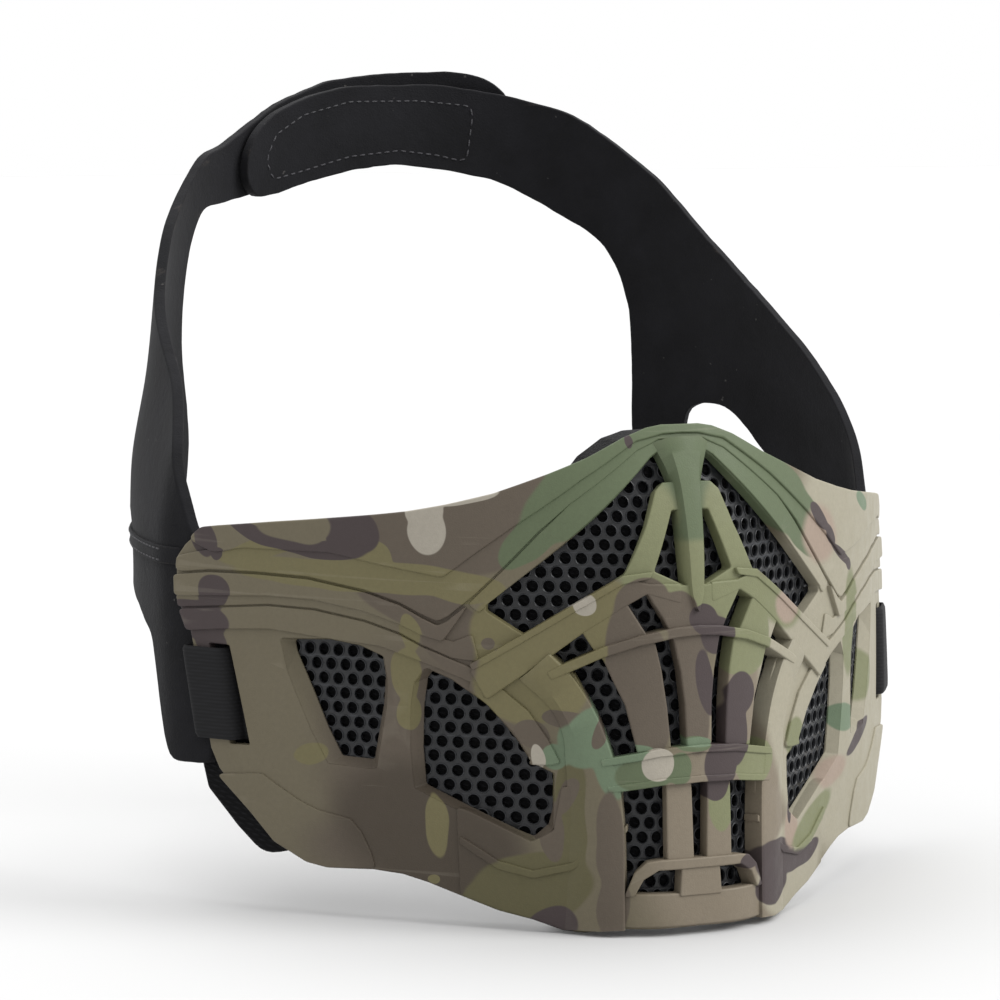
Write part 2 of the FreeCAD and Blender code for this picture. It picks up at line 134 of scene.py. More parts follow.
def on_skin(u, z, height):
    """Points at a distance along the skin, a level, and a height above the skin."""
    x = np.interp(u, GIRTH, GIRTH_X)
    y = skin_depth(x, z)
    step = 0.4
    slope_x = (skin_depth(x + step, z) - skin_depth(x - step, z)) / (2 * step)
    slope_z = (skin_depth(x, z + step) - skin_depth(x, z - step)) / (2 * step)
    rise = height / np.sqrt(1 + slope_x ** 2 + slope_z ** 2)
    return np.stack((x + slope_x * rise, y - rise, z + slope_z * rise), 1)


class Path:
    """The strap's way round the head from its own side's ear: an oval that leans in upwards."""
    HALF = 105.5            # half width of the oval
    START = 90.0            # depth at which it starts
    POWER = 2.25            # 2 would be an ellipse
    LEAN = 0.15             # how far it leans in, for each millimetre above LEAN_FROM
    LEAN_FROM = 10.0
    TUCK_EDGE = 99.2        # in front of this depth the strap tucks in under the moulding
    TUCK_LEAN = 0.14        # and this much further forward for each millimetre down
    TUCK_SLOPE = 0.68
    TUCK_SOFT = 2.0
    SIDE_TURN = 1.2         # only this part of the oval tucks in

    def __init__(self, sign, back, wave):
        self.sign = sign
        self.back = back
        self.wave = wave
        self.turns = np.linspace(0.0, math.pi, 1201)
        x, y = self.oval(self.turns, self.HALF, back - self.START)
        self.lengths = np.concatenate(([0.0], np.cumsum(np.hypot(np.diff(x), np.diff(y)))))

    def oval(self, turn, half, reach):
        across = np.cos(turn)
        aside = np.abs(across) ** (2 / self.POWER) * np.sign(across)
        return half * aside, self.START + reach * np.abs(np.sin(turn)) ** (2 / self.POWER)

    def half(self, z):
        return self.HALF - self.LEAN * np.maximum(z - self.LEAN_FROM, 0.0)

    def by_depth(self, y, z):
        """Distance along the path of a point at that depth, and its level."""
        if y < self.START:
            return y - self.START, z
        share = min(((y - self.START) / (self.back - self.START)) ** (self.POWER / 2), 1.0)
        return float(np.interp(math.asin(share), self.turns, self.lengths)), z

    def by_width(self, x, z):
        """The same for a point of the band at the back, x counted towards the path's own side."""
        share = min(abs(x) / float(self.half(z)), 1.0) ** (self.POWER / 2)
        turn = math.acos(math.copysign(share, x))
        return float(np.interp(turn, self.turns, self.lengths)), z

    def __call__(self, s, z, height):
        height = height + self.wave(s, z)
        turn = np.interp(s, self.lengths, self.turns)
        x, y = self.oval(turn, self.half(z) + height, self.back - self.START + height)
        y = np.where(s < 0, self.START + s, y)
        edge = self.TUCK_EDGE - self.TUCK_LEAN * np.maximum(-z, 0.0)
        tuck = self.TUCK_SLOPE * self.TUCK_SOFT * np.log1p(np.exp((edge - y) / self.TUCK_SOFT))
        x = np.where(turn < self.SIDE_TURN, x - tuck, x)
        return np.stack((self.sign * x, y, z), 1)


def left_wave(s, z):
    return 0.9 * np.sin(s / 23.0 + 0.6) * np.sin(z / 21.0 + 0.4) * np.clip((s - 20) / 30, 0, 1) - 0.3


def swell(s, z, middle_s, middle_z, half_s, half_z):
    """A smooth bump of height 1 round a place on a strap."""
    return np.exp(-((s - middle_s) / half_s) ** 2 - ((z - middle_z) / half_z) ** 2)


def right_wave(s, z):
    ripple = 1.1 * np.sin(s / 27.0 + 2.0) * np.sin(z / 24.0 + 1.2) * np.clip((s - 20) / 30, 0, 1)
    return ripple - 4.0 * swell(s, z, 26.0, 54.0, 24.0, 26.0) + 2.2 * swell(s, z, 62.0, 24.0, 24.0, 18.0)


LEFT_PATH = Path(1, 213.5, left_wave)
RIGHT_PATH = Path(-1, 220.0, right_wave)


def seat(points):
    """Millimetres behind the moulding's foremost line to metres in the row frame."""
    return (points - np.array((0.0, FACE_GAP, 0.0))) * MM


# ------------------------------------------------------------------ outlines

def mirrored(points):
    return list(points) + [(-x, z) for x, z in reversed(points) if x > 0.01]


def on_side(points, sign):
    """The outline on the wearer's left, 1, or mirrored to the right, -1."""
    return [(sign * x, z) for x, z in points]


def rounded(points, radius, steps=4, longest=math.inf):
    """The closed outline with each corner turned into a curve, which starts at most longest away from it."""
    out = []
    for i, corner in enumerate(points):
        here = Vector(corner)
        back = Vector(points[i - 1]) - here
        ahead = Vector(points[(i + 1) % len(points)]) - here
        turn = math.pi - back.angle(ahead)
        reach = min(radius * math.tan(turn / 2), longest, 0.45 * back.length, 0.45 * ahead.length)
        if reach < 0.02:
            out.append(tuple(here))
            continue
        start = here + back.normalized() * reach
        end = here + ahead.normalized() * reach
        for k in range(steps + 1):
            t = k / steps
            out.append(tuple(start * (1 - t) ** 2 + here * 2 * t * (1 - t) + end * t ** 2))
    return out


def moved(points, distance):
    """The closed outline with its edges moved outwards, by one distance or one for each edge."""
    count = len(points)
    reach = distance if hasattr(distance, "__len__") else [distance] * count
    area = sum(points[i - 1][0] * points[i][1] - points[i][0] * points[i - 1][1] for i in range(count))
    side = 1 if area > 0 else -1
    out = []
    for i, corner in enumerate(points):
        here = Vector(corner)
        before = (here - Vector(points[i - 1])).normalized()
        after = (Vector(points[(i + 1) % count]) - here).normalized()
        normal_a = Vector((before.y, -before.x)) * side
        normal_b = Vector((after.y, -after.x)) * side
        a = reach[i - 1]
        b = reach[i]
        cross = normal_a.x * normal_b.y - normal_a.y * normal_b.x
        if abs(cross) < 0.12:
            out.append(tuple(here + (normal_a + normal_b) * (a + b) / 4))
            continue
        move = Vector(((a * normal_b.y - b * normal_a.y) / cross, (b * normal_a.x - a * normal_b.x) / cross))
        limit = 2.2 * max(abs(a), abs(b))
        out.append(tuple(here + (move if move.length < limit else move * (limit / move.length))))
    return out


def divided(points, longest, closed=True):
    """The outline with extra points on its long edges."""
    out = []
    ends = points[1:] + points[:1] if closed else points[1:]
    for (x0, z0), (x1, z1) in zip(points, ends):
        pieces = max(1, math.ceil(math.hypot(x1 - x0, z1 - z0) / longest))
        out += [(x0 + (x1 - x0) * k / pieces, z0 + (z1 - z0) * k / pieces) for k in range(pieces)]
    return out if closed else out + [points[-1]]


def flowing(points, count):
    """An open line through the points, smoothed, with that many points evenly spaced."""
    p = np.array(points, float)
    p = np.concatenate((2 * p[:1] - p[1:2], p, 2 * p[-1:] - p[-2:-1]))
    fine = []
    for a, b, c, d in zip(p[:-3], p[1:-2], p[2:-1], p[3:]):
        for t in np.linspace(0, 1, 12, endpoint=False):
            fine.append(0.5 * (2 * b + (c - a) * t + (2 * a - 5 * b + 4 * c - d) * t ** 2
                               + (3 * b - 3 * c + d - a) * t ** 3))
    fine = np.array(fine + [p[-2]])
    run = np.concatenate(([0.0], np.cumsum(np.linalg.norm(np.diff(fine, axis=0), axis=1))))
    at = np.linspace(0, run[-1], count)
    return np.stack([np.interp(at, run, fine[:, k]) for k in range(fine.shape[1])], 1)


def unrolled(points):
    """(half width, height) points to distances along the skin."""
    return [(along(x), z) for x, z in points]


# outlines seen from the front, as (half width, height), most of them the wearer's left half
RIM = (
    (0, 40), (5, 40), (9, 39.3), (15, 37), (24, 32.2), (33, 28.3), (45, 23.4), (55, 20.4), (63, 18.4),
    (77, 15.8), (88, 13.6), (96, 11.8), (99, 11), (102.4, 6), (104, 2.5), (104.3, -8), (102.2, -16),
    (101.4, -24), (99.4, -46), (98, -51), (92.3, -62), (88, -69), (82, -73.5), (78, -74.5), (69, -74),
    (63, -74.7), (58, -76.4), (51, -79.5), (44, -82.5), (37, -84.3), (31, -86.6), (27, -86.8),
    (19, -85.4), (0, -85.2),
)
CHEEK_WINDOW = (
    (58.6, -22.1), (54.5, -24.2), (47.4, -30), (44.2, -34.1), (41, -38.8), (38, -44.5), (33.6, -47),
    (33.8, -56), (34.6, -60), (37.6, -63.4), (40.9, -62), (50.8, -56.6), (57, -53), (59.3, -51.6),
    (60.1, -42), (60.2, -31), (59.6, -24),
)
# how far each edge of a window is flared outwards at the moulding's skin
CHEEK_FLARE = (0.6, 0.6, 0.6, 0.6, 0.6, 0.6, 0.8, 1.6, 1.6, 1.2, 1.2, 1.2, 1.2, 1.6, 1.8, 1.8, 1.2)
REAR_WINDOW = (
    (84.8, -16.4), (77.8, -15.7), (72.4, -16.7), (68.6, -18.8), (67.9, -24), (68.1, -31.4), (69.7, -46),
    (76, -45.6), (78.7, -38.5), (81.5, -29), (84.4, -19.4),
)
REAR_FLARE = (0.5, 0.5, 0.6, 1.0, 1.2, 1.3, 1.8, 2.2, 2.2, 2.2, 1.4)
NOSE_OPENING = ((0, 35.4), (4, 35), (8.6, 32.2), (47.2, -4.6), (47.2, -6.2), (39.6, -11.8), (38.2, -11.4),
                (18, 3), (12, 1.4), (0, 0.5))
MOUTH_OPENING = ((0, -9), (8.5, -8), (12.6, -1.2), (17.7, -4.2), (26.6, -11), (33.2, -17), (30.6, -19.2),
                 (28.4, -21.5), (24.5, -29.5), (21.8, -37), (20, -44), (18.7, -51), (18.5, -76.4), (0, -76.5))
FRONT_PLATE = ((0, 36.6), (8, 36), (51.5, -3.5), (51.5, -8), (41, -15), (36.5, -21), (31, -26), (27, -37),
               (24, -50), (23, -80), (0, -80))
FRONT_LINING = ((0, 31), (9, 30), (17, 25.5), (24, 20.5), (29, 20), (33, 14.4), (38, 9), (48, -1.5),
                (49.5, -4), (43, -14), (34.5, -30), (29, -44), (29, -66), (22, -76.5), (0, -76.5))
CHEEK_LINING = ((103.5, 3), (92, 7), (64, 10), (56, 4), (45, -14), (36, -30), (31, -44), (31, -66), (44, -76),
                (66, -72), (78, -72.5), (84, -71), (92, -74), (97, -67), (102.5, -57.5), (104, -47),
                (103.5, -43), (103.5, -18))
NOSE_PAD = ((0, 39.2), (6, 39), (12, 37.2), (18.6, 32.6), (24, 26), (27.5, 19.5), (24, 17), (17, 22),
            (9, 26.4), (0, 27.6))
# back of the nose pad, seen from above: half width, depth
BRIDGE = ((0, 31.5), (8, 32.4), (16, 34.4), (24, 36.5), (34, 38))
CHIN_PAD = ((0, -75.2), (27, -75.2), (34, -78), (36, -82), (26, -84.5), (0, -83.5))

# raised parts of the moulding: outline, height of the top, width of the bevel and corner radius
BROW = RIM[:13]
MIDDLE_PLATES = (
    # brow band down to its fold, then the second band that follows the nose opening
    (BROW + ((101.4, 7.6), (97, 4.6), (92, 6.5), (85, 6.8), (77, 7), (67, 4.5), (56, 2.2), (49, 8.6),
             (41, 15.2), (26, 26.6), (12, 36), (5, 37.6), (0, 37.8)), 1.5, 0.4, 2),
    (((0, 38.6), (10, 37.6), (26, 28), (41, 17), (49, 10), (56, 4), (67, 6), (77, 8), (85, 8), (92, 7.5),
      (98, 5.5), (103.6, 3), (104.1, -1.3), (98, 0.1), (90, 0.6), (81, 0.4), (71, -1.9), (64.5, -4.6),
      (60, -7.5), (57, -9), (55, -7.7), (49, -1.4), (42, 6.8), (36, 14), (29, 20.8), (12, 33.8), (6, 36.4),
      (0, 36.6)), 0.9, 0.35, 1.5),
    # lower edge of the nose opening's frame
    (((0, 37.2), (6, 36.8), (12, 34.4), (29, 21), (36, 13.4), (42, 6.2), (49, -2), (51, -4.4), (48.6, -6.6),
      (47.4, -5.2), (47.2, -4.6), (8.6, 32.4), (4, 35.2), (0, 35.5)), 0.55, 0.3, 1),
    # mouth band and its two rails
    (((0, -39.6), (10, -40.2), (22.7, -43), (21.2, -50.6), (10, -48.6), (0, -48.2)), 2.0, 0.35, 0.6),
    (((0, -39.2), (10, -39.8), (22.9, -42.6), (22.7, -44.4), (10, -41.8), (0, -41.2)), 2.5, 0.3, 0.4),
    (((0, -46.9), (10, -47.3), (21.8, -49.3), (21.4, -50.9), (10, -49), (0, -48.6)), 2.4, 0.3, 0.4),
    # arch bar across the tall slots
    (((0, -9.2), (6, -9.6), (14, -11.3), (22, -14.2), (31, -19), (34, -21), (33, -22.9), (22, -16.9),
      (14, -13.9), (6, -12.2), (0, -11.8)), 2.6, 0.4, 0.5),
    # star in the middle with the centre rib
    (((0, 3), (2.4, 0.7), (8, 1.4), (12.8, -0.6), (8.7, -7.5), (6.3, -12.6), (4.6, -20.7), (3.7, -29),
      (3.4, -40), (0, -40)), 1.6, 0.5, 0.8),
    # chin: curved bar, block and rail
    (((0, -67.6), (10.5, -67.7), (13.7, -68.2), (16.4, -70.9), (18.6, -77), (16.5, -77), (14.4, -72.6),
      (11, -70.3), (0, -70.2)), 1.9, 0.4, 1.2),
    (((0, -69.4), (5.3, -69.4), (5.8, -77.2), (0, -77.2)), 1.4, 0.4, 0.4),
    (((0, -76.3), (19.4, -76.3), (20, -77), (20, -84.9), (0, -84.8)), 1.0, 0.5, 1),
)
TWIN_PLATES = (
    # band under the groove, its step, and the band above the cheek windows
    (((104.2, -1.9), (98, -0.5), (90, 0), (81, -0.2), (71, -2.5), (64.5, -5.2), (60, -8.3), (57, -10),
      (55, -8.7), (50.5, -4), (53.4, -9.4), (56, -14), (60, -12.6), (64.5, -10), (71, -7.3), (80, -5.3),
      (88, -5.3), (96, -6.3), (104.3, -7.4)), 1.3, 0.3, 1),
    (((104.2, -7), (96, -6), (88, -5), (80, -5), (71, -7), (60, -12), (54, -14), (50, -12), (48.4, -19),
      (54, -18.2), (60, -15.2), (64.5, -12.3), (71, -9.6), (80, -7.6), (88, -7.5), (97, -9.1), (104, -10.3)),
     0.55, 0.25, 0.8),
    (((103.8, -10.7), (97, -9.5), (88, -7.9), (80, -8), (71, -10), (64.5, -12.7), (60, -15.6), (54, -18.6),
      (47.6, -21.6), (46.8, -29.4), (49, -24.6), (60, -19.4), (68, -16), (79, -14.8), (88, -13.8),
      (96, -14.9), (102.6, -16.2)), 0.95, 0.3, 1),
    # arm from the star across the cheek, with its rail
    (((4, 1.2), (12, 1.4), (18, 3.3), (28, -3.6), (38.5, -11.3), (44, -15.2), (49.6, -19.6), (50, -21.6),
      (46.6, -28.4), (43, -25.2), (33.4, -17.2), (26.6, -11.1), (17.7, -4.3), (12.6, -1.2), (4, -4)),
     1.7, 0.45, 0.8),
    (((11, 4.4), (18, 3.5), (28, -3.4), (38.5, -11.1), (50.2, -19.4), (49.6, -21), (38.2, -12.9), (28, -5.4),
      (18, 1.4), (12, 2.6)), 2.1, 0.3, 0.5),
    # rib between the tall slots
    (((17.3, -3.1), (12.7, -11), (10.5, -13.6), (9.1, -20.5), (8, -29.5), (7.3, -40), (15.2, -41),
      (17.6, -29), (20.3, -22.5), (22.1, -17.8), (24.4, -14.8), (26.8, -10.6), (22, -6.4)), 1.5, 0.5, 0.6),
    # fork beside the nose bar
    (((1.5, 26.2), (6.6, 26), (8.8, 24), (12, 15.5), (17.2, 4.6), (18.6, 2.2), (11, 0.2), (1.5, -1.2),
      (1.5, 0.6), (2.6, 0.6), (10.6, 4.4), (5, 19.2), (1.5, 19.2)), 0.9, 0.4, 0.7),
    # ribs below the mouth band
    (((2.2, -47), (8.8, -47.4), (8.9, -69), (1.7, -69)), 1.1, 0.45, 0.3),
    # step along the lower cheek
    (((98.4, -52.6), (90, -51.4), (87, -54.2), (83, -57.6), (79.5, -59.6), (73.4, -61.2), (71.3, -64.3),
      (69.2, -69.9), (68.4, -73.6), (78, -74.2), (82, -73.2), (88, -68.6), (92.3, -61.6)), 0.5, 0.25, 1),
    # chin guard under the cheek window and its ridge
    (((52.4, -56.2), (49.6, -57.4), (41, -62.2), (37.4, -64.2), (33, -61), (31.4, -50), (28.4, -49.4),
      (26.8, -56), (26.6, -86.2), (31, -86.2), (37, -83.9), (44, -82), (51.4, -78.8)), 0.7, 0.35, 1),
    (((51.6, -63.6), (48.4, -65.9), (43.9, -69.4), (37, -71.4), (29.2, -68.9), (26.5, -66.8), (21.4, -62.2),
      (17.8, -58.7), (17.8, -60.6), (21.4, -64.2), (26.5, -68.8), (29.2, -70.9), (37, -73.4), (43.9, -71.6),
      (48.4, -68.2), (51.5, -65.6)), 1.3, 0.3, 0.6),
    # slim rib inside the cheek window
    (((50, -20.5), (44.6, -24.6), (38, -31), (34, -38), (31.4, -44), (33.6, -44.6), (38, -44.6), (37.6, -43),
      (41.2, -36.6), (46.2, -30.2), (50.4, -26)), 0.9, 0.45, 0.8),
)
# side post of the mouth: outer edge, ridge and inner edge, each with a twin
POST_OUTER = ((40, -23), (33.8, -29.8), (31, -36.4), (30.4, -43.6), (30.2, -49), (30, -55.6), (30.6, -70),
              (31.4, -86.2))
POST_RIDGE = ((37.4, -20.6), (33, -26.6), (30.3, -31.6), (27.5, -39), (25.2, -48), (23.8, -55.5), (23.4, -70),
              (23.2, -85.8))
POST_INNER = ((33.2, -16.4), (28.9, -21.5), (24.5, -29.5), (21.8, -37), (20, -44), (19, -50), (18.4, -62),
              (18.4, -85.4))
# nose bar from the brow down to the star, right half
BAR_CREST = ((0.1, 36.6), (0.1, 30), (0.1, 20), (0.1, 8), (0.1, -2), (0.1, -6))
BAR_SHOULDER = ((4.6, 36.4), (2.9, 28), (2.3, 20), (1.9, 8), (1.5, -1), (0.4, -5))
BAR_FOOT = ((7.6, 35.6), (4.3, 27), (3.6, 20), (3.1, 8), (2.6, 0), (1.2, -5.4))


# ------------------------------------------------------------------ mesh making

def lofted(store, rings, around=True, closed=False, caps=False):
    """Faces between rows of points: around each row, from the last row to the first, and on the ends."""
    made = [[store.verts.new(p) for p in ring] for ring in rings]
    count = len(made[0])
    for a, b in zip(made, made[1:] + made[:1] if closed else made[1:]):
        for k in range(count if around else count - 1):
            store.faces.new((a[k], a[(k + 1) % count], b[(k + 1) % count], b[k]))
    if caps:
        for end in (0, -1):
            store.faces.new(made[end] if around else [row[end] for row in made])


def flat_plate(loops, bottom, top, bevel, cell, rings=2):
    """A flat plate in millimetres between two heights. The first loop is its edge, the rest its
    holes; its edges are bevelled, and it is cut into cells so that it can bend."""
    curve = bpy.data.curves.new("plate", "CURVE")
    curve.dimensions = "2D"
    curve.fill_mode = "BOTH"
    curve.extrude = (top - bottom) / 2 - bevel
    curve.bevel_depth = bevel
    curve.bevel_resolution = rings
    curve.offset = -bevel
    for loop in loops:
        spline = curve.splines.new("POLY")
        spline.points.add(len(loop) - 1)
        spline.points.foreach_set("co", [c for u, z in loop for c in (u, z, 0.0, 1.0)])
        spline.use_cyclic_u = True
    holder = bpy.data.objects.new("plate", curve)
    bpy.context.scene.collection.objects.link(holder)
    graph = bpy.context.evaluated_depsgraph_get()
    mesh = bpy.data.meshes.new_from_object(holder.evaluated_get(graph))
    bpy.data.objects.remove(holder)
    bpy.data.curves.remove(curve)
    work = bmesh.new()
    work.from_mesh(mesh)
    bpy.data.meshes.remove(mesh)
    bmesh.ops.remove_doubles(work, verts=work.verts, dist=0.004)
    edge = np.array(loops[0])
    for axis in (0, 1):
        normal = (1, 0, 0) if axis == 0 else (0, 1, 0)
        for at in np.arange(edge[:, axis].min() + cell * 0.5, edge[:, axis].max(), cell):
            place = (at, 0, 0) if axis == 0 else (0, at, 0)
            geometry = work.verts[:] + work.edges[:] + work.faces[:]
            bmesh.ops.bisect_plane(work, geom=geometry, dist=0.0005, plane_co=place, plane_no=normal)
    bmesh.ops.translate(work, verts=work.verts, vec=(0, 0, (top + bottom) / 2))
    return work


def settle(work, place, store):
    """Bend a flat bmesh onto a surface and add it to the store."""
    mesh = bpy.data.meshes.new("settled")
    work.to_mesh(mesh)
    work.free()
    flat = np.zeros(len(mesh.vertices) * 3, np.float32)
    mesh.vertices.foreach_get("co", flat)
    flat = flat.reshape(-1, 3).astype(float)
    bent = seat(place(*flat.T))
    mesh.vertices.foreach_set("co", bent.astype(np.float32).ravel())
    store.from_mesh(mesh)
    bpy.data.meshes.remove(mesh)


def piece(name, store, material, angle=38.0, weighted=True):
    """A finished object from a bmesh, smooth except at its sharp edges."""
    bmesh.ops.recalc_face_normals(store, faces=store.faces)
    mesh = bpy.data.meshes.new(name)
    store.to_mesh(mesh)
    store.free()
    mesh.polygons.foreach_set("use_smooth", [True] * len(mesh.polygons))
    mesh.set_sharp_from_angle(angle=math.radians(angle))
    made = bpy.data.objects.new(name, mesh)
    bpy.context.scene.collection.objects.link(made)
    if weighted:
        made.modifiers.new("even", "WEIGHTED_NORMAL").keep_sharp = True
        graph = bpy.context.evaluated_depsgraph_get()
        even = bpy.data.meshes.new_from_object(made.evaluated_get(graph))
        made.modifiers.clear()
        made.data = even
        bpy.data.meshes.remove(mesh)
        even.name = name
    made.data.materials.clear()
    made.data.materials.append(material)
    return made


def capsule(store, start, end, radius, lift):
    """One stitch: a thin rounded thread between two points, bowed outwards along lift."""
    axis = (end - start).normalized()
    across = axis.cross(lift).normalized()
    up = across.cross(axis).normalized()
    sides = 6
    rows = []
    for share, size in ((0.0, 0.35), (0.12, 0.85), (0.5, 1.0), (0.88, 0.85), (1.0, 0.35)):
        bow = up * radius * (0.9 * math.sin(math.pi * share) - 0.35)
        centre = start.lerp(end, share) + bow
        ring = []
        for k in range(sides):
            turn = 2 * math.pi * k / sides
            ring.append(centre + (across * math.cos(turn) + up * math.sin(turn)) * radius * size)
        rows.append(ring)
    lofted(store, rows, caps=True)


def stitch_line(store, place, points, height, closed):
    """Stitches along a line on a surface, at a height above it."""
    length = 2.1
    gap = 1.0
    radius = 0.24
    line = divided(points, 1.0, closed)
    if closed:
        line.append(line[0])
    line = np.array(line)
    run = np.concatenate(([0.0], np.cumsum(np.linalg.norm(np.diff(line, axis=0), axis=1))))
    at = np.arange(0.4, run[-1] - length, length + gap)

    def points_at(shift, level):
        u = np.interp(at + shift, run, line[:, 0])
        v = np.interp(at + shift, run, line[:, 1])
        return seat(place(u, v, np.full(len(u), level)))

    for a, b, top in zip(points_at(0.0, height), points_at(length, height), points_at(0.0, height + 1)):
        outwards = (Vector(top) - Vector(a)) * (1 if height > -1 else -1)
        capsule(store, Vector(a), Vector(b), radius * MM, outwards)


def inside(points, x, z):
    """Whether points lie in a closed outline, and how far they are from its edge."""
    within = np.zeros(len(x), bool)
    nearest = np.full(len(x), 1e9)
    for (x0, z0), (x1, z1) in zip(points, points[1:] + points[:1]):
        crosses = (z0 > z) != (z1 > z)
        at = x0 + (z - z0) * (x1 - x0) / ((z1 - z0) or 1e-9)
        within ^= crosses & (x < at)
        edge = np.array((x1 - x0, z1 - z0))
        share = np.clip(((x - x0) * edge[0] + (z - z0) * edge[1]) / max(edge @ edge, 1e-9), 0, 1)
        nearest = np.minimum(nearest, np.hypot(x - x0 - share * edge[0], z - z0 - share * edge[1]))
    return within, nearest


# ------------------------------------------------------------------ node materials

class Look:
    """A material's node tree, with short ways to add nodes."""

    def __init__(self, name):
        self.material = bpy.data.materials.new(name)
        self.material.use_nodes = True
        self.tree = self.material.node_tree
        self.shader = self.tree.nodes["Principled BSDF"]
        self.where = self.add("ShaderNodeTexCoord").outputs["Object"]

    def add(self, kind, inputs=(), **settings):
        made = self.tree.nodes.new(kind)
        for key, value in settings.items():
            setattr(made, key, value)
        for key, value in dict(inputs).items():
            if isinstance(value, bpy.types.NodeSocket):
                self.tree.links.new(value, made.inputs[key])
            else:
                made.inputs[key].default_value = value
        return made

    def noise(self, scale, detail=2.0, rough=0.5):
        inputs = {"Vector": self.where, "Scale": scale, "Detail": detail, "Roughness": rough}
        return self.add("ShaderNodeTexNoise", inputs).outputs["Fac"]

    def wave(self, scale, distortion=0.0, direction="X", where=None):
        inputs = {"Vector": where or self.where, "Scale": scale, "Distortion": distortion}
        return self.add("ShaderNodeTexWave", inputs, bands_direction=direction).outputs["Fac"]

    def cells(self, scale):
        return self.add("ShaderNodeTexVoronoi", {"Vector": self.where, "Scale": scale}).outputs["Distance"]

    def edges(self):
        """Above one half on outer edges, and below it in grooves."""
        return self.add("ShaderNodeNewGeometry").outputs["Pointiness"]

    def vector(self, operation, *inputs, out=0):
        return self.add("ShaderNodeVectorMath", dict(enumerate(inputs)), operation=operation).outputs[out]

    def math(self, operation, a, b=0.0, c=0.0):
        return self.add("ShaderNodeMath", {0: a, 1: b, 2: c}, operation=operation).outputs[0]

    def scaled(self, source, low, high, to_low, to_high, smooth=False):
        kind = "SMOOTHSTEP" if smooth else "LINEAR"
        inputs = {"Value": source, "From Min": low, "From Max": high, "To Min": to_low, "To Max": to_high}
        return self.add("ShaderNodeMapRange", inputs, interpolation_type=kind).outputs[0]

    def mix(self, share, a, b):
        return self.add("ShaderNodeMix", {0: share, 6: a, 7: b}, data_type="RGBA").outputs[2]

    def ellipse(self, where, x, z, half_x, half_z, turn):
        """How far out a point is across an ellipse seen from the front: 1 on its edge."""
        if turn == 0:
            scale = (1 / half_x, 0.0, 1 / half_z)
            shift = (-x / half_x, 0.0, -z / half_z)
            return self.vector("LENGTH", self.vector("MULTIPLY_ADD", where, scale, shift), out="Value")
        cosine = math.cos(turn)
        sine = math.sin(turn)
        spans = []
        for along_x, along_z, half in ((cosine, sine, half_x), (-sine, cosine, half_z)):
            axis = (along_x / half, 0.0, along_z / half)
            reach = self.vector("DOT_PRODUCT", where, axis, out="Value")
            spans.append(self.math("SUBTRACT", reach, (x * along_x + z * along_z) / half))
        square = self.math("MULTIPLY", spans[0], spans[0])
        return self.math("SQRT", self.math("MULTIPLY_ADD", spans[1], spans[1], square))

    def bump(self, height, strength, distance, under=None):
        inputs = {"Height": height, "Strength": strength, "Distance": distance}
        if under is not None:
            inputs["Normal"] = under
        return self.add("ShaderNodeBump", inputs).outputs["Normal"]

    def put(self, **sockets):
        for key, value in sockets.items():
            socket = self.shader.inputs[key.replace("_", " ")]
            if isinstance(value, bpy.types.NodeSocket):
                self.tree.links.new(value, socket)
            else:
                socket.default_value = value
        return self.material


def paint(red, green, blue):
    """A colour given as it looks on screen, 0 to 255, as the shader's linear one."""
    def linear(value):
        value = value / 255
        return value / 12.92 if value <= 0.04045 else ((value + 0.055) / 1.055) ** 2.4
    return linear(red), linear(green), linear(blue), 1.0


PRINT_DEPTH = 0.66         # how much darker the print is than the colours below
KHAKI = paint(122, 114, 94)
BROWN = paint(106, 96, 84)
DARK_BROWN = paint(86, 77, 66)
PURPLE = paint(80, 70, 70)
OLIVE = paint(127, 120, 86)
DEEP_OLIVE = paint(106, 101, 72)
GREEN = paint(104, 116, 88)
PALE_GREEN = paint(134, 137, 103)
MINT = paint(118, 136, 110)
CREAM = paint(182, 175, 161)
TAN = paint(172, 166, 146)
WARM_TAN = paint(140, 129, 112)
PINK = paint(170, 152, 136)

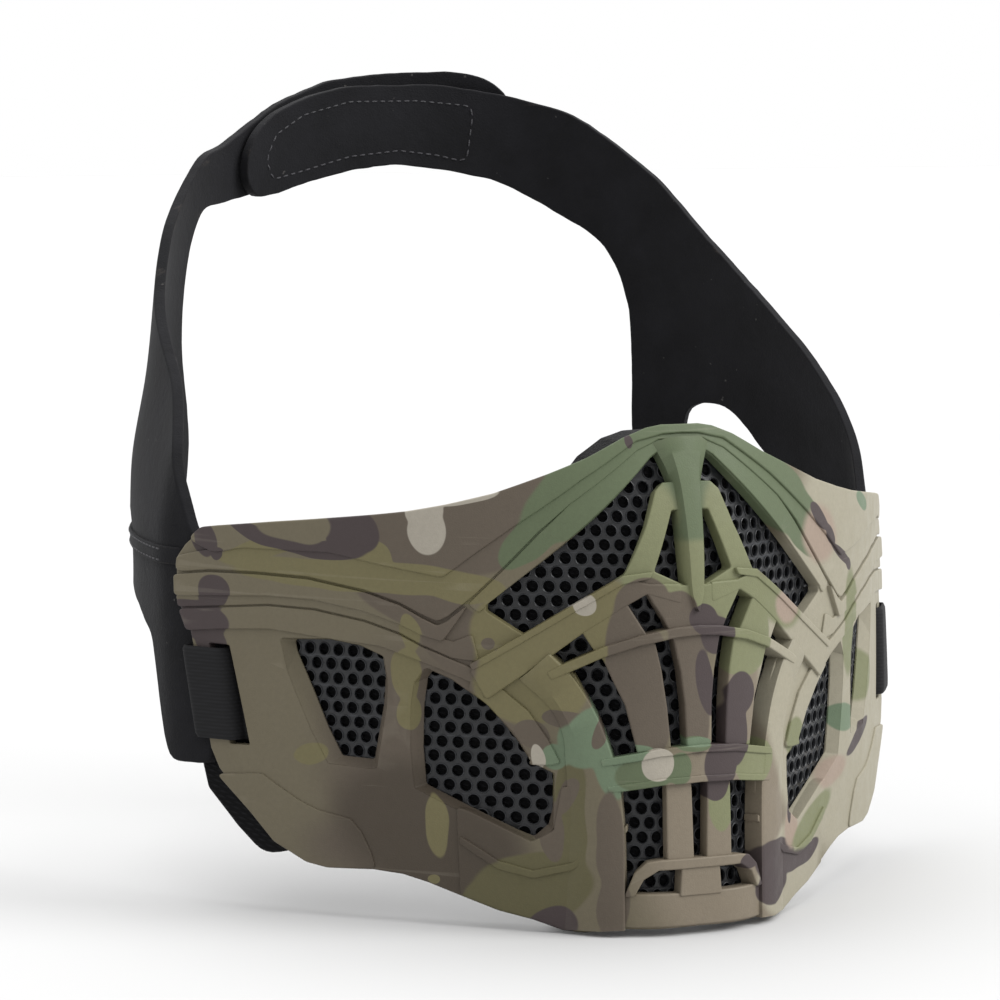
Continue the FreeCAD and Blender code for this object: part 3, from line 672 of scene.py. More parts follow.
# camouflage patches from the lowest to the topmost: colour, softness of the edge, and the ellipses
# they are made of as (half width, height, half axes, turn in degrees), all in millimetres
CAMOUFLAGE = (
    (WARM_TAN, 0.30, ((8, -66, 26, 26, 0), (20, -40, 22, 24, 0))),
    # painted light: the large soft tan ellipse over the wearer's left cheek makes that lit side lighter than
    # the khaki base
    (TAN, 0.10, ((72, -20, 46, 62, 0), (36, -34, 14, 32, 14), (34, -76, 16, 12, 0))),
    (BROWN, 0.35, ((-58, -44, 20, 30, 0), (-64, -68, 18, 10, 0))),
    (KHAKI, 0.06, ((-88, 13, 12, 12, 0),)),
    (BROWN, 0.05, ((-54, 16, 22, 14, 8), (-60, -6, 14, 5, -20), (-52, -16, 10, 6, -35), (-38, 24, 8, 9, 30))),
    (DARK_BROWN, 0.30, ((-55, -68, 16, 13, 0), (-62, -60, 14, 15, 0))),
    (OLIVE, 0.05, ((-38, -12, 13, 10, -30), (-38, -22, 12, 13, 0), (-26, -10, 10, 8, -30))),
    (OLIVE, 0.04, ((-72, 1.5, 23, 4.2, 0), (-70, 6, 3.4, 5, 0), (-51, -0.6, 8, 3.4, 0),
                   (-90, 6.8, 8, 2.6, 28))),
    (DEEP_OLIVE, 0.05, ((-38, -76, 13, 9, 25), (-30, -60, 3.4, 20, 0), (-46, -80, 6, 5, 0))),
    (GREEN, 0.04, ((-38, 12, 4, 9, -35), (-22, 27, 22, 9, 38), (0, 34, 16, 12, 0), (22, 27, 24, 9, -38),
                   (40, 12, 6, 10, 40), (0, 20, 5, 14, 0))),
    (PALE_GREEN, 0.14, ((-12, 12, 7, 15, -18), (12, 12, 7, 15, 18), (0, 3, 16, 9, 0), (14, -3, 12, 8, -25),
                        (28, -6, 10, 6, -35))),
    (OLIVE, 0.10, ((-24, -4, 8, 6, 35),)),
    (BROWN, 0.04, ((-14, -2.5, 6.2, 6.2, 0), (-15, -22, 7, 20, 8), (-3, -22, 5.5, 20, 5),
                   (-6, -6, 5, 5, -30))),
    (WARM_TAN, 0.10, ((-5, -58, 5, 12, 0), (6, -60, 4, 8, 0))),
    (PALE_GREEN, 0.05, ((16, -14, 8, 8.5, 0), (17, -45, 7, 6, 0), (6, -55, 3.8, 7, 0), (11, -18, 4, 4, 0))),
    (PURPLE, 0.04, ((1.5, -8, 4, 4, -20), (5.5, -12, 4.6, 4.6, -30), (2.2, -24, 2.6, 8.5, 6))),
    (PURPLE, 0.04, ((13, -27, 4.8, 5.6, -20), (10.5, -36, 4, 9, 0))),
    (PURPLE, 0.04, ((5.6, -44, 5, 6.5, 0), (4.6, -50, 3.6, 3.4, 30))),
    (PURPLE, 0.04, ((-74, 12.4, 5, 5.6, 0), (-81, 8, 8.5, 2.4, -6), (-90.5, 10.6, 6, 2, -32))),
    (KHAKI, 0.05, ((-84, 14, 6.6, 5, 0),)),
    (PURPLE, 0.05, ((-99.6, 8.4, 1.7, 5, 6), (-97.6, 4.4, 0.8, 1.6, 0))),
    (PURPLE, 0.04, ((-98.4, -5, 2.8, 4.4, 0), (-101, -13, 5.6, 5, 0), (-98.6, -19, 3, 4.6, 0))),
    (CREAM, 0.04, ((-59.6, 13.6, 3.6, 6, 0), (-60, 18.5, 3.8, 3.4, 0), (-51, 22, 7, 1.6, 18))),
    (PURPLE, 0.05, ((-14, 36.2, 1.1, 1.7, 20),)),
    (BROWN, 0.05, ((-46.3, -14.2, 1.3, 1.5, 0),)),
    (OLIVE, 0.04, ((-63, -11.5, 1.9, 4.6, 8), (-63, -23, 3, 7.5, 4), (-62, -33, 3, 4.2, 0))),
    (OLIVE, 0.06, ((-56, -61.6, 2.3, 8.2, 2), (-81, -45.6, 4, 2.8, 30), (-57.4, -75, 1.2, 1.2, 0))),
    (BROWN, 0.04, ((-38, -37.4, 4.4, 3.4, -35), (-31.6, -33, 4, 2.4, 0))),
    (MINT, 0.06, ((-27, -37, 5, 7.4, -20), (-22, -42, 4.4, 10, 10), (-22, -30, 3.6, 4, 0),
                  (-33.4, -42.6, 3, 3, -30))),
    (BROWN, 0.04, ((-24.4, -36, 1.8, 3.6, -20), (-22.6, -33.4, 1.4, 2.6, -30))),
    (GREEN, 0.06, ((-14, -45.4, 7.6, 4.4, 6), (-2.4, -39, 4.6, 2, 0), (-6, -45, 3.4, 4, 0))),
    (MINT, 0.05, ((-17, -40.6, 5, 1.8, 12), (-1.6, -38.6, 4.2, 1.3, 0))),
    (BROWN, 0.05, ((-33.6, -61, 2.8, 8, 6), (-30.4, -52, 1.8, 5, -16))),
    (BROWN, 0.06, ((-22, -64, 3, 14, 0), (-21.6, -80, 3.6, 8, 0))),
    (CREAM, 0.04, ((-37.2, -43.2, 1.5, 3.3, 8), (-27.2, -4, 2.6, 2.6, 0))),
    (CREAM, 0.03, ((-11.4, -43.5, 4.1, 4.1, 0),)),
    (PURPLE, 0.05, ((-33.6, -85, 5, 4.8, 30),)),
    (PURPLE, 0.05, ((26, -71.6, 9.4, 5.4, -8), (25, -78, 7.4, 4.8, 0), (40, -74, 10, 2.6, 8),
                    (14.6, -70, 3, 2, 0))),
    (PINK, 0.20, ((47, 9, 8, 7, -40), (58, -56, 8, 3.4, 10), (34.4, -66, 3, 5, 0), (31, -8, 5, 4, -35))),
    (PALE_GREEN, 0.12, ((64, -17, 3.6, 15, 4), (78, -34, 7, 7, 20), (46, -66, 12, 4, 25),
                        (36, -42, 3.6, 5, 0))),
    (MINT, 0.08, ((63, -42.6, 7, 3.4, -14), (70, 15, 4, 2, -30))),
    (PURPLE, 0.05, ((46.4, 13.4, 5.6, 1.9, -40), (51.8, 8.4, 3.4, 1.6, -58), (57.6, 2, 6, 1.2, -36),
                    (61.6, -1, 1.8, 1.2, -50))),
    (PURPLE, 0.06, ((74, -49.6, 8.4, 2.2, 24), (33.8, -61.4, 0.9, 3.2, 0))),
)


def camo_look():
    look = Look("camo_paint")
    inputs = {"Vector": look.where, "Scale": 60.0, "Detail": 1.0}
    drift = look.add("ShaderNodeTexNoise", inputs).outputs["Color"]
    centred = look.vector("SUBTRACT", drift, (0.5, 0.5, 0.5))
    small = look.add("ShaderNodeVectorMath", {0: centred, "Scale": 0.0032}, operation="SCALE").outputs[0]
    where = look.vector("ADD", look.where, small)
    colour = KHAKI
    for shade, soft, ellipses in CAMOUFLAGE:
        nearest = None
        for x, z, half_x, half_z, turn in ellipses:
            span = look.ellipse(where, x * MM, z * MM, half_x * MM, half_z * MM, math.radians(turn))
            if nearest is None:
                nearest = span
            else:
                nearest = look.math("SMOOTH_MIN", nearest, span, 0.35)
        share = look.scaled(nearest, 1.0 + soft, 1.0 - soft, 0.0, 1.0, True)
        colour = look.mix(share, colour, shade)
    mottle = look.noise(900.0, 4.0, 0.6)
    colour = look.mix(look.scaled(mottle, 0.35, 0.75, 0.0, 0.10), colour, paint(60, 55, 48))
    edges = look.edges()
    patchy = look.scaled(look.noise(240.0), 0.3, 0.7, 0.4, 1.0)
    # painted highlight: outer edges are lightened towards a pale cream, broken up by noise, where they would
    # catch the light
    edge_highlight = look.math("MULTIPLY", look.scaled(edges, 0.55, 0.66, 0.0, 0.10), patchy)
    colour = look.mix(edge_highlight, colour, paint(196, 188, 170))
    # painted shade: grooves and inner corners are darkened towards a near-black brown
    groove_shade = look.scaled(edges, 0.47, 0.40, 0.0, 0.45)
    colour = look.mix(groove_shade, colour, paint(48, 43, 36))
    rough = look.scaled(look.noise(180.0, 3.0), 0.3, 0.7, 0.46, 0.60)
    grain = look.bump(look.noise(2600.0, 2.0), 0.16, 0.0004)
    uneven = look.bump(look.noise(110.0, 2.0), 0.10, 0.0012, grain)
    faded = look.add("ShaderNodeVectorMath", {0: colour, "Scale": PRINT_DEPTH}, operation="SCALE").outputs[0]
    return look.put(Base_Color=faded, Roughness=rough, Normal=uneven, Specular_IOR_Level=0.22)


def plate_look():
    look = Look("black_powder_coat")
    speckle = look.scaled(look.noise(500.0, 3.0), 0.35, 0.7, 0.0, 1.0)
    colour = look.mix(speckle, paint(19, 20, 22), paint(30, 31, 34))
    # painted highlight: outer edges and the hole rims are lightened towards a pale grey
    colour = look.mix(look.scaled(look.edges(), 0.53, 0.64, 0.0, 0.35), colour, paint(66, 68, 73))
    rough = look.scaled(look.noise(700.0, 2.0), 0.3, 0.7, 0.30, 0.44)
    grain = look.bump(look.noise(3200.0, 2.0), 0.14, 0.0003)
    return look.put(Base_Color=colour, Roughness=rough, Normal=grain, Specular_IOR_Level=0.4)


def neoprene_look():
    look = Look("neoprene_knit")
    blotch = look.noise(70.0, 4.0, 0.6)
    colour = look.mix(look.scaled(blotch, 0.3, 0.75, 0.0, 1.0), paint(18, 18, 20), paint(26, 26, 29))
    lint = look.scaled(look.noise(420.0, 2.0), 0.745, 0.77, 0.0, 0.5)
    colour = look.mix(lint, colour, paint(84, 82, 80))
    pores = look.scaled(look.noise(1500.0, 3.0), 0.4, 0.6, 0.2, 1.0)
    cut_edge = look.math("MULTIPLY", look.scaled(look.edges(), 0.52, 0.60, 0.0, 1.0), pores)
    colour = look.mix(cut_edge, colour, paint(44, 41, 40))
    knit = look.bump(look.cells(2100.0), 0.30, 0.0003)
    nap = look.bump(look.noise(380.0, 3.0), 0.25, 0.0006, knit)
    return look.put(Base_Color=colour, Roughness=0.82, Normal=nap, Sheen_Weight=0.03, Sheen_Roughness=0.45,
                    Specular_IOR_Level=0.14)


def foam_look():
    look = Look("soft_foam")
    pores = look.cells(1300.0)
    colour = look.mix(look.scaled(pores, 0.1, 0.6, 0.0, 1.0), paint(34, 33, 34), paint(20, 20, 21))
    nap = look.bump(pores, 0.55, 0.0004)
    soft = look.bump(look.noise(160.0, 3.0), 0.3, 0.001, nap)
    return look.put(Base_Color=colour, Roughness=0.92, Normal=soft, Sheen_Weight=0.03, Sheen_Roughness=0.5,
                    Specular_IOR_Level=0.12)


def lining_look():
    look = Look("lining_knit")
    tilt = (0.3, math.radians(45), 0.2)
    turned = look.add("ShaderNodeMapping", {"Vector": look.where, "Rotation": tilt}).outputs[0]
    weave = look.math("MULTIPLY", look.wave(260.0, 1.2, where=turned), look.wave(240.0, 1.0, "Z"))
    colour = look.mix(weave, paint(14, 14, 15), paint(27, 27, 29))
    knit = look.bump(weave, 0.5, 0.0004)
    return look.put(Base_Color=colour, Roughness=0.85, Normal=knit, Sheen_Weight=0.02, Sheen_Roughness=0.4,
                    Specular_IOR_Level=0.12)


def webbing_look(name, scale):
    look = Look(name)
    cross = look.scaled(look.wave(scale * 0.8, 0.6, "DIAGONAL"), 0.0, 1.0, 0.5, 1.0)
    weave = look.math("MULTIPLY", look.wave(scale, 0.4, "Z"), cross)
    colour = look.mix(weave, paint(25, 25, 26), paint(32, 32, 34))
    knit = look.bump(weave, 0.16, 0.0003)
    return look.put(Base_Color=colour, Roughness=0.72, Normal=knit, Sheen_Weight=0.02,
                    Specular_IOR_Level=0.14)


def pile_look(name, scale, strength):
    look = Look(name)
    tufts = look.cells(scale)
    colour = look.mix(look.scaled(tufts, 0.0, 0.7, 0.0, 1.0), paint(32, 32, 34), paint(15, 15, 16))
    pile = look.bump(tufts, strength, 0.0006)
    return look.put(Base_Color=colour, Roughness=0.9, Normal=pile, Sheen_Weight=0.03, Specular_IOR_Level=0.12)


def thread_look():
    look = Look("stitch_thread")
    twist = look.wave(900.0, direction="DIAGONAL")
    colour = look.mix(twist, paint(40, 40, 42), paint(70, 69, 73))
    strands = look.bump(twist, 0.4, 0.0002)
    return look.put(Base_Color=colour, Roughness=0.6, Normal=strands, Specular_IOR_Level=0.4)


def steel_look():
    look = Look("blackened_steel")
    colour = look.mix(look.noise(900.0, 3.0), paint(38, 38, 40), paint(66, 66, 70))
    rough = look.scaled(look.noise(600.0), 0.3, 0.7, 0.28, 0.42)
    grain = look.bump(look.noise(2400.0), 0.1, 0.0002)
    return look.put(Base_Color=colour, Metallic=0.85, Roughness=rough, Normal=grain)


def floor_look():
    look = Look("pale_floor")
    colour = look.mix(look.noise(3.0, 2.0), paint(190, 190, 190), paint(193, 193, 193))
    return look.put(Base_Color=colour, Roughness=0.7, Specular_IOR_Level=0.2)


camo = camo_look()
powder = plate_look()
neoprene = neoprene_look()
foam = foam_look()
lining = lining_look()
webbing = webbing_look("webbing_weave", 330.0)
binding = webbing_look("binding_weave", 420.0)
hooks = pile_look("hook_pile", 1500.0, 0.7)
loops = pile_look("loop_pile", 900.0, 0.8)
thread = thread_look()
steel = steel_look()


# ------------------------------------------------------------------ the moulding

def skin_loop(points, radius):
    """A half-width outline rounded, divided and unrolled along the skin."""
    return unrolled(divided(rounded(points, radius), CELL))


def add_plate(store, points, bottom, top, bevel, radius, holes=()):
    loops = [skin_loop(points, radius)] + list(holes)
    settle(flat_plate(loops, bottom, top, bevel, CELL), on_skin, store)


def at_height(line, height):
    """A line of (distance along the skin, level) points, seated at a height above the skin."""
    u, z = np.array(line).T
    return seat(on_skin(u, z, np.full(len(u), height)))


def grown(loop, distance):
    """A dense loop moved away from its own middle."""
    away = np.array(loop) - np.mean(np.array(loop), axis=0)
    return np.array(loop) + away / np.linalg.norm(away, axis=1)[:, None] * distance


def add_chamfer(store, upper, lower, lip=0.4, hidden=0.6):
    """The sloped wall of a window, from its flared upper edge down to its lower one, lip above the back.
    Behind it the wall goes back up, hidden inside the moulding's own."""
    outer = grown(upper, hidden)
    lofted(store, [at_height(upper, 0.0), at_height(upper, -0.05), at_height(lower, SHELL_BACK + lip),
                   at_height(lower, SHELL_BACK), at_height(outer, SHELL_BACK), at_height(outer, -hidden)],
           closed=True)


def add_section(store, columns, count):
    """A long faceted bar: each column is a line along it, (half width, level), with its height."""
    lines = [at_height(unrolled(flowing(points, count)), height) for points, height in columns]
    lofted(store, lines, around=False, closed=True, caps=True)


def slot_outline(half=1.8, lean=1.6, clearance=1.0):
    """The slot for the webbing tab, which leans outwards towards its upper end."""
    low = TAB_MIDDLE - TAB_WIDTH / 2 - clearance
    high = TAB_MIDDLE + TAB_WIDTH / 2 + clearance
    return ((SLOT - half - lean, low), (SLOT + half - lean, low), (SLOT + half + lean, high),
            (SLOT - half + lean, high))


def shell_piece():
    store = bmesh.new()
    holes = []
    for window, flare in ((CHEEK_WINDOW, CHEEK_FLARE), (REAR_WINDOW, REAR_FLARE)):
        for sign in (1, -1):
            upper = unrolled(rounded(on_side(moved(window, flare), sign), 0.8, 5))
            lower = unrolled(rounded(on_side(window, sign), 0.8, 5))
            holes.append(upper)
            add_chamfer(store, upper, lower)
    for sign in (1, -1):
        holes.append(skin_loop(on_side(slot_outline(), sign), 0.5))
    holes.append(skin_loop(mirrored(NOSE_OPENING), 0.8))
    holes.append(skin_loop(mirrored(MOUTH_OPENING), 0.6))
    add_plate(store, mirrored(RIM), SHELL_BACK, 0.0, 0.35, 3.0, holes)
    for points, top, bevel, radius in MIDDLE_PLATES:
        add_plate(store, mirrored(points), SHELL_BACK + 0.1, top, bevel, radius)
    for points, top, bevel, radius in TWIN_PLATES:
        for sign in (1, -1):
            add_plate(store, on_side(points, sign), SHELL_BACK + 0.1, top, bevel, radius)
    for sign in (1, -1):
        outer = on_side(POST_OUTER, sign)
        ridge = on_side(POST_RIDGE, sign)
        inner = on_side(POST_INNER, sign)
        near = [(x + 0.5 * sign, z) for x, z in inner]
        add_section(store, ((outer, SHELL_BACK), (outer, 0.5), (ridge, 2.5), (near, 2.2), (inner, 1.8),
                            (inner, SHELL_BACK)), 48)
    shoulder = on_side(BAR_SHOULDER, -1)
    foot = on_side(BAR_FOOT, -1)
    add_section(store, ((BAR_FOOT, SHELL_BACK), (BAR_FOOT, 0.5), (BAR_SHOULDER, 2.6), (BAR_CREST, 2.8),
                        (shoulder, 2.6), (foot, 0.5), (foot, SHELL_BACK)), 40)
    return piece("outer_shell_moulding", store, camo)


def perforated(name, outline):
    """A plate with a lattice of holes, each with a raised rim."""
    edge = skin_loop(outline, 1.0)
    lattice = []
    us, zs = np.array(edge).T
    row = PITCH * math.sqrt(3) / 2
    first = math.floor(zs.min() / row)
    for j in range(first, math.ceil(zs.max() / row) + 1):
        shift = PITCH / 2 if j % 2 else 0.0
        start = math.floor(us.min() / PITCH)
        for i in range(start, math.ceil(us.max() / PITCH) + 1):
            lattice.append((i * PITCH + shift, j * row))
    lattice = np.array(lattice)
    within, near = inside(edge, lattice[:, 0], lattice[:, 1])
    margin = 0.7
    centres = lattice[within & (near > HOLE + margin)]
    sides = 18
    turns = [2 * math.pi * k / sides for k in range(sides)]

    def circle(u, z, radius):
        return [(u + radius * math.cos(t), z + radius * math.sin(t)) for t in turns]

    holes = [circle(u, z, HOLE) for u, z in centres]
    store = bmesh.new()
    settle(flat_plate([edge] + holes, PLATE_FRONT - PLATE_WALL, PLATE_FRONT, 0.12, PITCH, 1), on_skin, store)
    rim = ((-0.02, -0.3), (0.02, 0.12), (0.16, 0.26), (0.32, 0.2), (0.46, -0.3))
    for u, z in centres:
        rings = [at_height(circle(u, z, HOLE + out), PLATE_FRONT + rise) for out, rise in rim]
        lofted(store, rings, closed=True)
    return piece(name, store, powder)


def on_bridge(u, z, height):
    """Points of the nose pad, whose front follows the moulding and whose back the bridge of the nose."""
    front = on_skin(u, z, np.full(len(u), LINER_FRONT))
    share = (LINER_FRONT - height) / NOSE_WALL
    widths, depths = np.array(BRIDGE).T
    back = np.interp(np.abs(front[:, 0]), widths, depths)
    front[:, 1] += share * (back - front[:, 1])
    return front


def soft_plate(name, outline, wall, bevel, material, cell=4.0, uneven=0.5, radius=4.0, place=on_skin):
    """A foam piece on the moulding's inside, with a rounded edge and a slightly uneven face."""
    store = bmesh.new()
    work = flat_plate([skin_loop(outline, radius)], LINER_FRONT - wall, LINER_FRONT, bevel, cell, 5)
    middle = LINER_FRONT - wall / 2
    for v in work.verts:
        if v.co.z < middle:
            v.co.z -= uneven * (math.sin(v.co.x / 9.0) * math.sin(v.co.y / 8.0) + 1) / 2
    settle(work, place, store)
    return piece(name, store, material, 60.0)


def on_mask(made, node):
    """Fix a piece to the mask's own body, in a CAD node's place."""
    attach(made, "mask")
    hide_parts(node)


on_mask(shell_piece(), "outer_shell")

PLATE_LAP = 3.0            # a cheek plate reaches this far past its window
for node, outline in (("front_mesh", mirrored(FRONT_PLATE)),
                      ("cheek_front_mesh_left", moved(CHEEK_WINDOW, PLATE_LAP)),
                      ("cheek_front_mesh_right", on_side(moved(CHEEK_WINDOW, PLATE_LAP), -1)),
                      ("cheek_rear_mesh_left", moved(REAR_WINDOW, PLATE_LAP)),
                      ("cheek_rear_mesh_right", on_side(moved(REAR_WINDOW, PLATE_LAP), -1))):
    on_mask(perforated(node + "_sheet", outline), node)

for node, outline in (("front_liner", mirrored(FRONT_LINING)), ("cheek_liner_left", CHEEK_LINING),
                      ("cheek_liner_right", on_side(CHEEK_LINING, -1))):
    made = soft_plate(node + "_foam", outline, LINER_WALL, 1.3, lining)
    on_mask(made, node)

for node, outline, wall, place in (("nose_pad", mirrored(NOSE_PAD), NOSE_WALL, on_bridge),
                                   ("chin_pad", mirrored(CHIN_PAD), PAD_WALL, on_skin)):
    made = soft_plate(node + "_foam", outline, wall, 3.0, foam, 3.0, 0.4, 3.0, place)
    on_mask(made, node)


# ------------------------------------------------------------------ webbing tabs and screws

def tab_piece(name, sign):
    """Webbing through the strap slot, over the moulding's rear edge and back inside."""
    wall = 1.5
    inner = SHELL_BACK - 0.9
    outer = 0.95
    lean = 0.13
    rear = along(REAR_EDGE) + 1.6
    slot = along(SLOT)
    route = [(slot - 9.0, inner - 0.4), (slot - 4.0, inner), (slot - 1.0, inner + 0.6), (slot - 0.2, -1.4),
             (slot + 0.8, 0.6), (slot + 2.6, outer), (rear - 3.0, outer)]
    for k in range(1, 8):
        turn = math.pi * k / 8
        route.append((rear + 2.0 * math.sin(turn), outer + (inner - outer) * (1 - math.cos(turn)) / 2))
    route += [(rear - 3.0, inner + 0.1), (slot + 3.0, inner - 1.3), (slot - 6.0, inner - 1.7)]
    line = flowing(route, 90)
    step = np.gradient(line, axis=0)
    normal = np.stack((step[:, 1], -step[:, 0]), 1) / np.linalg.norm(step, axis=1)[:, None]
    rows = []
    levels = np.linspace(-TAB_WIDTH / 2, TAB_WIDTH / 2, 25)
    edge = (1 - np.abs(levels / (TAB_WIDTH / 2)) ** 14) ** 0.5 * 0.72 + 0.28
    for side in (1, -1):
        for level, size in zip(levels[::side], edge[::side]):
            shape = line + normal * (side * wall / 2 * size)
            u = shape[:, 0] + level * lean
            z = np.full(len(u), TAB_MIDDLE + level)
            rows.append(seat(on_skin(sign * u, z, shape[:, 1])))
    store = bmesh.new()
    lofted(store, rows, around=False, closed=True, caps=True)
    return piece(name, store, webbing, 50.0)


SCREWS = (
    (4.0, 33.8), (50.0, -10.5), (30.0, 15.6), (21.0, -59.0), (21.0, -79.0), (62.0, -27.0), (62.0, -47.0),
    (36.0, -30.0), (41.0, -65.6), (65.9, -16.2), (87.2, -20.0), (66.7, -44.0), (79.4, -46.6),
)


def screw_piece():
    """Pan-head screws with cross recesses, driven from the inside."""
    store = bmesh.new()
    foot = PLATE_FRONT - PLATE_WALL
    sides = 24
    recess_half = 0.34
    recess_reach = 1.6
    recess_depth = 0.7
    turns = np.arange(sides) * 2 * math.pi / sides
    profile = ((2.55, 0.0), (2.6, 0.35), (2.35, 0.8), (1.8, 1.08), (1.35, 1.18), (1.0, 1.22), (0.7, 1.24),
               (0.4, 1.25))
    for x, z in on_side(SCREWS, 1) + on_side(SCREWS, -1):
        u = along(x)
        rings = []
        for radius, rise in profile:
            cross = np.minimum(np.abs(np.sin(turns)), np.abs(np.cos(turns))) * radius
            sunk = np.where((cross < recess_half) & (radius < recess_reach), recess_depth, 0.0)
            height = foot - rise + sunk
            rings.append(seat(on_skin(u + radius * np.cos(turns), z + radius * np.sin(turns), height)))
        lofted(store, rings, caps=True)
    return piece("mesh_screw_heads", store, steel, 40.0)


for side, sign in (("left", 1), ("right", -1)):
    on_mask(tab_piece(f"strap_tab_{side}_webbing", sign), f"strap_tab_{side}")
on_mask(screw_piece(), "mesh_screws")


# ------------------------------------------------------------------ head strap and side panels

# outlines of the straps and side panels: TOP, LOW and PANEL as (depth, level), BAND as (half width, level)
LEFT_TOP = ((88, 4.4), (91, 8), (97, 20), (107, 36), (119, 48), (137, 63), (157, 81), (171, 97), (182, 107),
            (192, 116))
LEFT_BAND = ((47, 119), (39, 121.4), (20, 124.5), (-8, 124), (-22, 121), (-34, 116.5), (-41, 111),
             (-45, 103.5), (-44.5, 96), (-41, 92), (-34, 92.6), (-24, 95.5), (-7, 99.5), (7, 101), (24, 99),
             (38, 96), (50, 89))
LEFT_LOW = ((188, 79), (184, 70), (182, 58), (182.5, 43), (184, 23), (184, 3.0), (168, 3.0), (172, 12),
            (170, 23), (168.5, 29), (164, 31.5), (158, 31.5), (152.5, 29), (148.5, 24.5), (143, 18),
            (136.5, 12.5), (130.7, 9), (126, 3.0), (88, 3.0))
RIGHT_TOP = ((88, 4.4), (91, 8), (97, 20), (107, 34), (119, 44), (137, 56), (157, 71), (169, 85), (183, 95.5),
             (194, 105))
RIGHT_BAND = ((52, 107), (43, 112), (30, 119), (12, 125.5), (-4, 127.5), (-16, 128), (-26, 128.3), (-35, 127),
              (-41, 123), (-44, 117), (-43, 109), (-36, 103.5), (-24, 102), (8, 101), (24, 97), (40, 93),
              (54, 90.5), (62, 89.6))
RIGHT_LOW = ((189, 81), (187, 70), (187, 58), (189, 48), (194, 34), (197, 22), (197, 3.0), (187, 3.0),
             (191, 8), (192, 18), (188, 27), (180, 31), (171, 28), (161, 19), (153, 11), (150, 3.0),
             (88, 3.0))
PANEL_FOOT = ((126, -14), (110, -20), (104.5, -33), (99.5, -45), (95, -51), (82, -51))
LEFT_PANEL = ((84, 3.8), (184, 3.8), (178, -6), (152, -9)) + PANEL_FOOT
RIGHT_PANEL = ((84, 3.8), (197, 3.8), (190, -6), (160, -9)) + PANEL_FOOT


def evenly(points, step):
    """The closed outline with evenly spaced points."""
    ring = np.array(list(points) + [points[0]])
    run = np.concatenate(([0.0], np.cumsum(np.linalg.norm(np.diff(ring, axis=0), axis=1))))
    at = np.linspace(0, run[-1], max(8, int(run[-1] / step)), endpoint=False)
    return list(zip(np.interp(at, run, ring[:, 0]), np.interp(at, run, ring[:, 1])))


def rough_edge(points, size, seed):
    """A cut edge that wanders a little, as raw foam does."""
    draws = np.random.default_rng(seed)
    points = evenly(points, 2.0)
    noise = draws.normal(0.0, size, (len(points), 2))
    noise = (noise + np.roll(noise, 1, 0)) / 2
    return [(u + a, v + b) for (u, v), (a, b) in zip(points, noise)]


def strap_sheet(name, path, loop, material, bottom, top, bevel):
    store = bmesh.new()
    settle(flat_plate([loop], bottom, top, bevel, CELL, 3), path, store)
    return piece(name, store, material, 50.0)


def bend_with(made):
    """Bake a piece's placement into its mesh."""
    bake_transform(made)


def declare_sheet(made, node):
    """Bake a piece's placement into its mesh and hide the CAD node that it replaces."""
    bend_with(made)
    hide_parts(node)


def strap_side(side, path, top, band, low, panel, seed):
    loop = [path.by_depth(*p) for p in top]
    loop += [path.by_width(*p) for p in band]
    loop += [path.by_depth(*p) for p in low]
    loop = rough_edge(rounded(loop, 40.0, longest=6.0), 0.08, seed)
    strap = strap_sheet(f"strap_{side}_neoprene", path, loop, neoprene, -STRAP_WALL, 0.0, 0.5)
    declare_sheet(strap, f"strap_{side}")
    loop = rough_edge(rounded([path.by_depth(*p) for p in panel], 20.0, longest=3.0), 0.08, seed + 1)
    cover = strap_sheet(f"side_panel_{side}_neoprene", path, loop, neoprene, -STRAP_WALL + 0.2, 0.15, 0.5)
    declare_sheet(cover, f"side_panel_{side}")


strap_side("left", LEFT_PATH, LEFT_TOP, LEFT_BAND, LEFT_LOW, LEFT_PANEL, 11)
strap_side("right", RIGHT_PATH, RIGHT_TOP, RIGHT_BAND, RIGHT_LOW, RIGHT_PANEL, 23)


def strip(name, path, low, high, front, rear, slant, bottom, top, material, node=None):
    """A level strip of tape or folded cloth, whose rear end leans back by slant towards its upper edge."""
    loop = [path.by_depth(front, low), path.by_depth(rear - slant, low), path.by_depth(rear, high),
            path.by_depth(front, high)]
    made = strap_sheet(name, path, divided(rounded(loop, 1.0), CELL), material, bottom, top, 0.25)
    bend_with(made)
    if node:
        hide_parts(node)


TAPE_FRONT = 101
TAPE_REAR = 136
TAPE_INSIDE = -STRAP_WALL - 0.7    # height of the tape's bare face, on the strap's inner side
HEM_TOP = 0.7
for side, path, rear in (("left", LEFT_PATH, 181.5), ("right", RIGHT_PATH, 194.5)):
    strip(f"seam_tape_{side}_binding", path, SEAM - 4.5, SEAM + 4.5, TAPE_FRONT, TAPE_REAR, 0.0, TAPE_INSIDE,
          -STRAP_WALL + 0.1, binding, f"seam_tape_{side}")
    strip(f"hem_{side}_fold", path, SEAM - 4.0, SEAM + 0.6, 94, rear, 3.6, -0.2, HEM_TOP, neoprene)


PATCH_WALL = 0.9


def patch_piece(kind, path, left, right, low, high, bottom, material, body):
    """The hook or loop patch on a strap's end."""
    loop = [path.by_width(left, low), path.by_width(right, low), path.by_width(right, high),
            path.by_width(left, high)]
    made = strap_sheet(kind + "_patch_pile", path, divided(rounded(loop, 2.0), CELL), material, bottom,
                       bottom + PATCH_WALL, 0.3)
    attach(made, body)
    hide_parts(kind + "_patch")


patch_piece("hook", LEFT_PATH, -38, 8, 101, 113, 0.0, hooks, "left_strap")
patch_piece("loop", RIGHT_PATH, 37, -9, 103, 115, -STRAP_WALL - PATCH_WALL, loops, "right_strap")


# ------------------------------------------------------------------ stitching

def level_line(path, level, front, rear):
    return [path.by_depth(y, level) for y in np.linspace(front, rear, 12)]


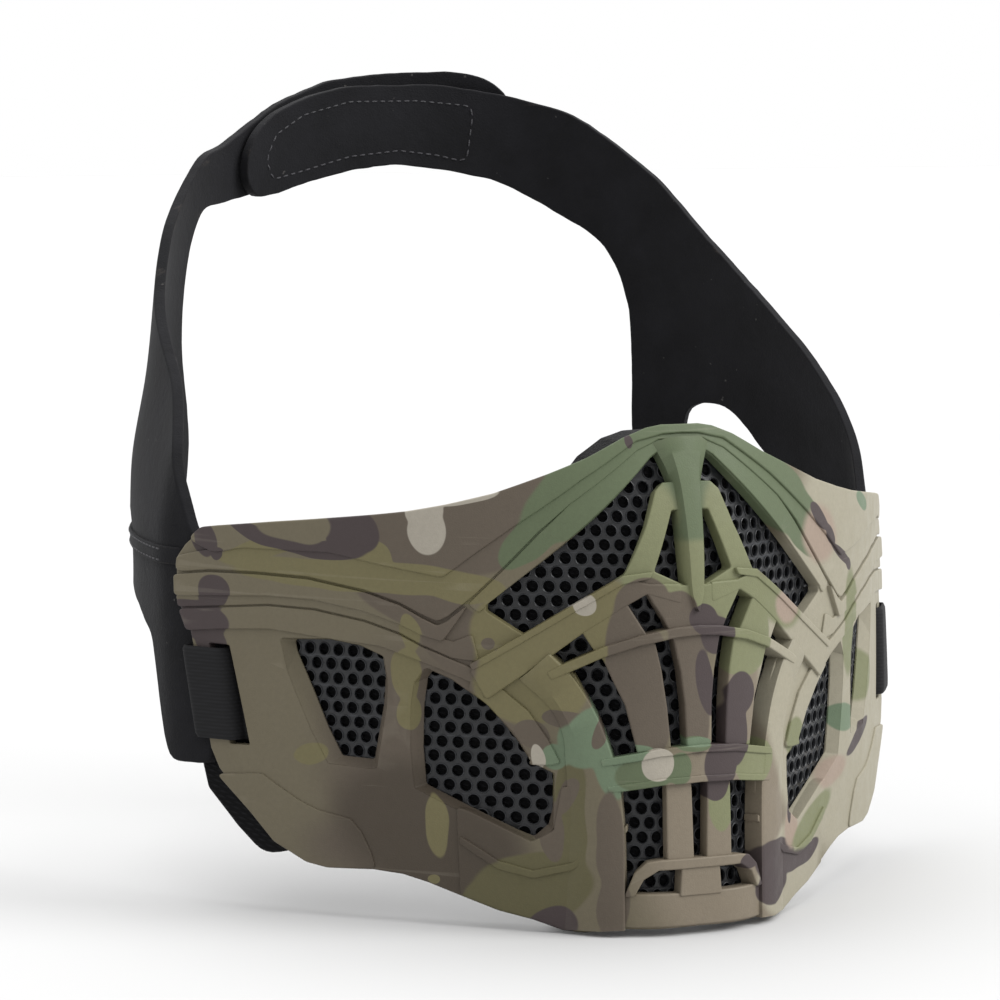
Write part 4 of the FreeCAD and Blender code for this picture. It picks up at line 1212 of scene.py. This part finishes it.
def overlock(path):
    """Short stitches over the side panel's edge beside the tab."""
    return [(path, [path.by_depth(96.4 - 0.06 * z, z), path.by_depth(98.8 - 0.06 * z, z - 0.4)], 0.15, False)
            for z in np.arange(-43.0, -19.0, 1.5)]


def stitch_piece(side, path, patch, radius, patch_height, hem_rear):
    """Every thread line on one strap: round its patch, along hem and tape, and over the panel's edge."""
    outline = rounded([path.by_width(x, z) for x, z in patch], radius)
    lines = [(path, outline, patch_height, True)]
    lines += [(path, level_line(path, SEAM - 3.2, 101, hem_rear), HEM_TOP, False),
              (path, level_line(path, SEAM - 0.3, 101, hem_rear + 2.0), HEM_TOP, False)]
    lines += [(path, level_line(path, SEAM + rise, TAPE_FRONT + 1, TAPE_REAR - 1), TAPE_INSIDE, False)
              for rise in (3.4, -3.4)]
    store = bmesh.new()
    for place, points, height, closed in lines + overlock(path):
        stitch_line(store, place, points, height, closed)
    made = piece("stitches_" + side, store, thread, 60.0, False)
    bend_with(made)


stitch_piece("left", LEFT_PATH, (
    (29, 101.5), (31, 118), (14, 119.6), (-8, 119.4), (-24, 115.6), (-34, 110), (-37.5, 103), (-35, 97),
    (-24, 99.4), (-8, 103.4), (8, 105), (20, 103.6)), 3.0, -STRAP_WALL, 177.5)
stitch_piece("right", RIGHT_PATH, (
    (-16, 104), (-17, 116), (0, 117), (20, 115.6), (36, 110), (42, 104), (40, 99), (20, 102), (0, 104)),
    4.0, 0.0, 190.5)


# ------------------------------------------------------------------ studio

def studio():
    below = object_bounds()[0][2] - 0.5 * MM
    bpy.ops.mesh.primitive_grid_add(x_subdivisions=8, y_subdivisions=8, size=14.0, location=(0, 0, below))
    floor = bpy.context.object
    floor.name = "studio_floor"
    floor.data.materials.append(floor_look())
    floor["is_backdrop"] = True
    world = bpy.data.worlds.new("studio")
    bpy.context.scene.world = world
    world.use_nodes = True
    backdrop = world.node_tree.nodes["Background"].inputs
    backdrop["Color"].default_value = (1.0, 1.0, 1.0, 1.0)
    backdrop["Strength"].default_value = 1.0
    for name, azimuth, height, spread, power in (("key", 52.0, 38.0, 35.0, 2.6),
                                                 ("top", 180.0, 72.0, 55.0, 1.5)):
        light = bpy.data.lights.new(name, "SUN")
        light.angle = math.radians(spread)
        light.energy = power
        lamp = bpy.data.objects.new(name, light)
        lamp.rotation_euler = (math.radians(90.0 - height), 0.0, math.radians(azimuth))
        bpy.context.scene.collection.objects.link(lamp)


def camera():
    azimuth = math.radians(-24.0)
    elevation = math.radians(6.07)
    lens = bpy.data.cameras.new("photo_view")
    lens.lens = 144.9
    lens.sensor_width = 36.0
    lens.clip_start = 0.05
    made = bpy.data.objects.new("photo_view", lens)
    made.location = (-0.4502, -0.9123, 0.1281)
    level = math.cos(elevation)
    back = Vector((math.sin(azimuth) * level, -math.cos(azimuth) * level, math.sin(elevation)))
    made.rotation_euler = back.to_track_quat("Z", "Y").to_euler()
    bpy.context.scene.collection.objects.link(made)
    bpy.context.scene.camera = made
    bpy.context.scene.view_settings.view_transform = "Standard"


camera()
studio()
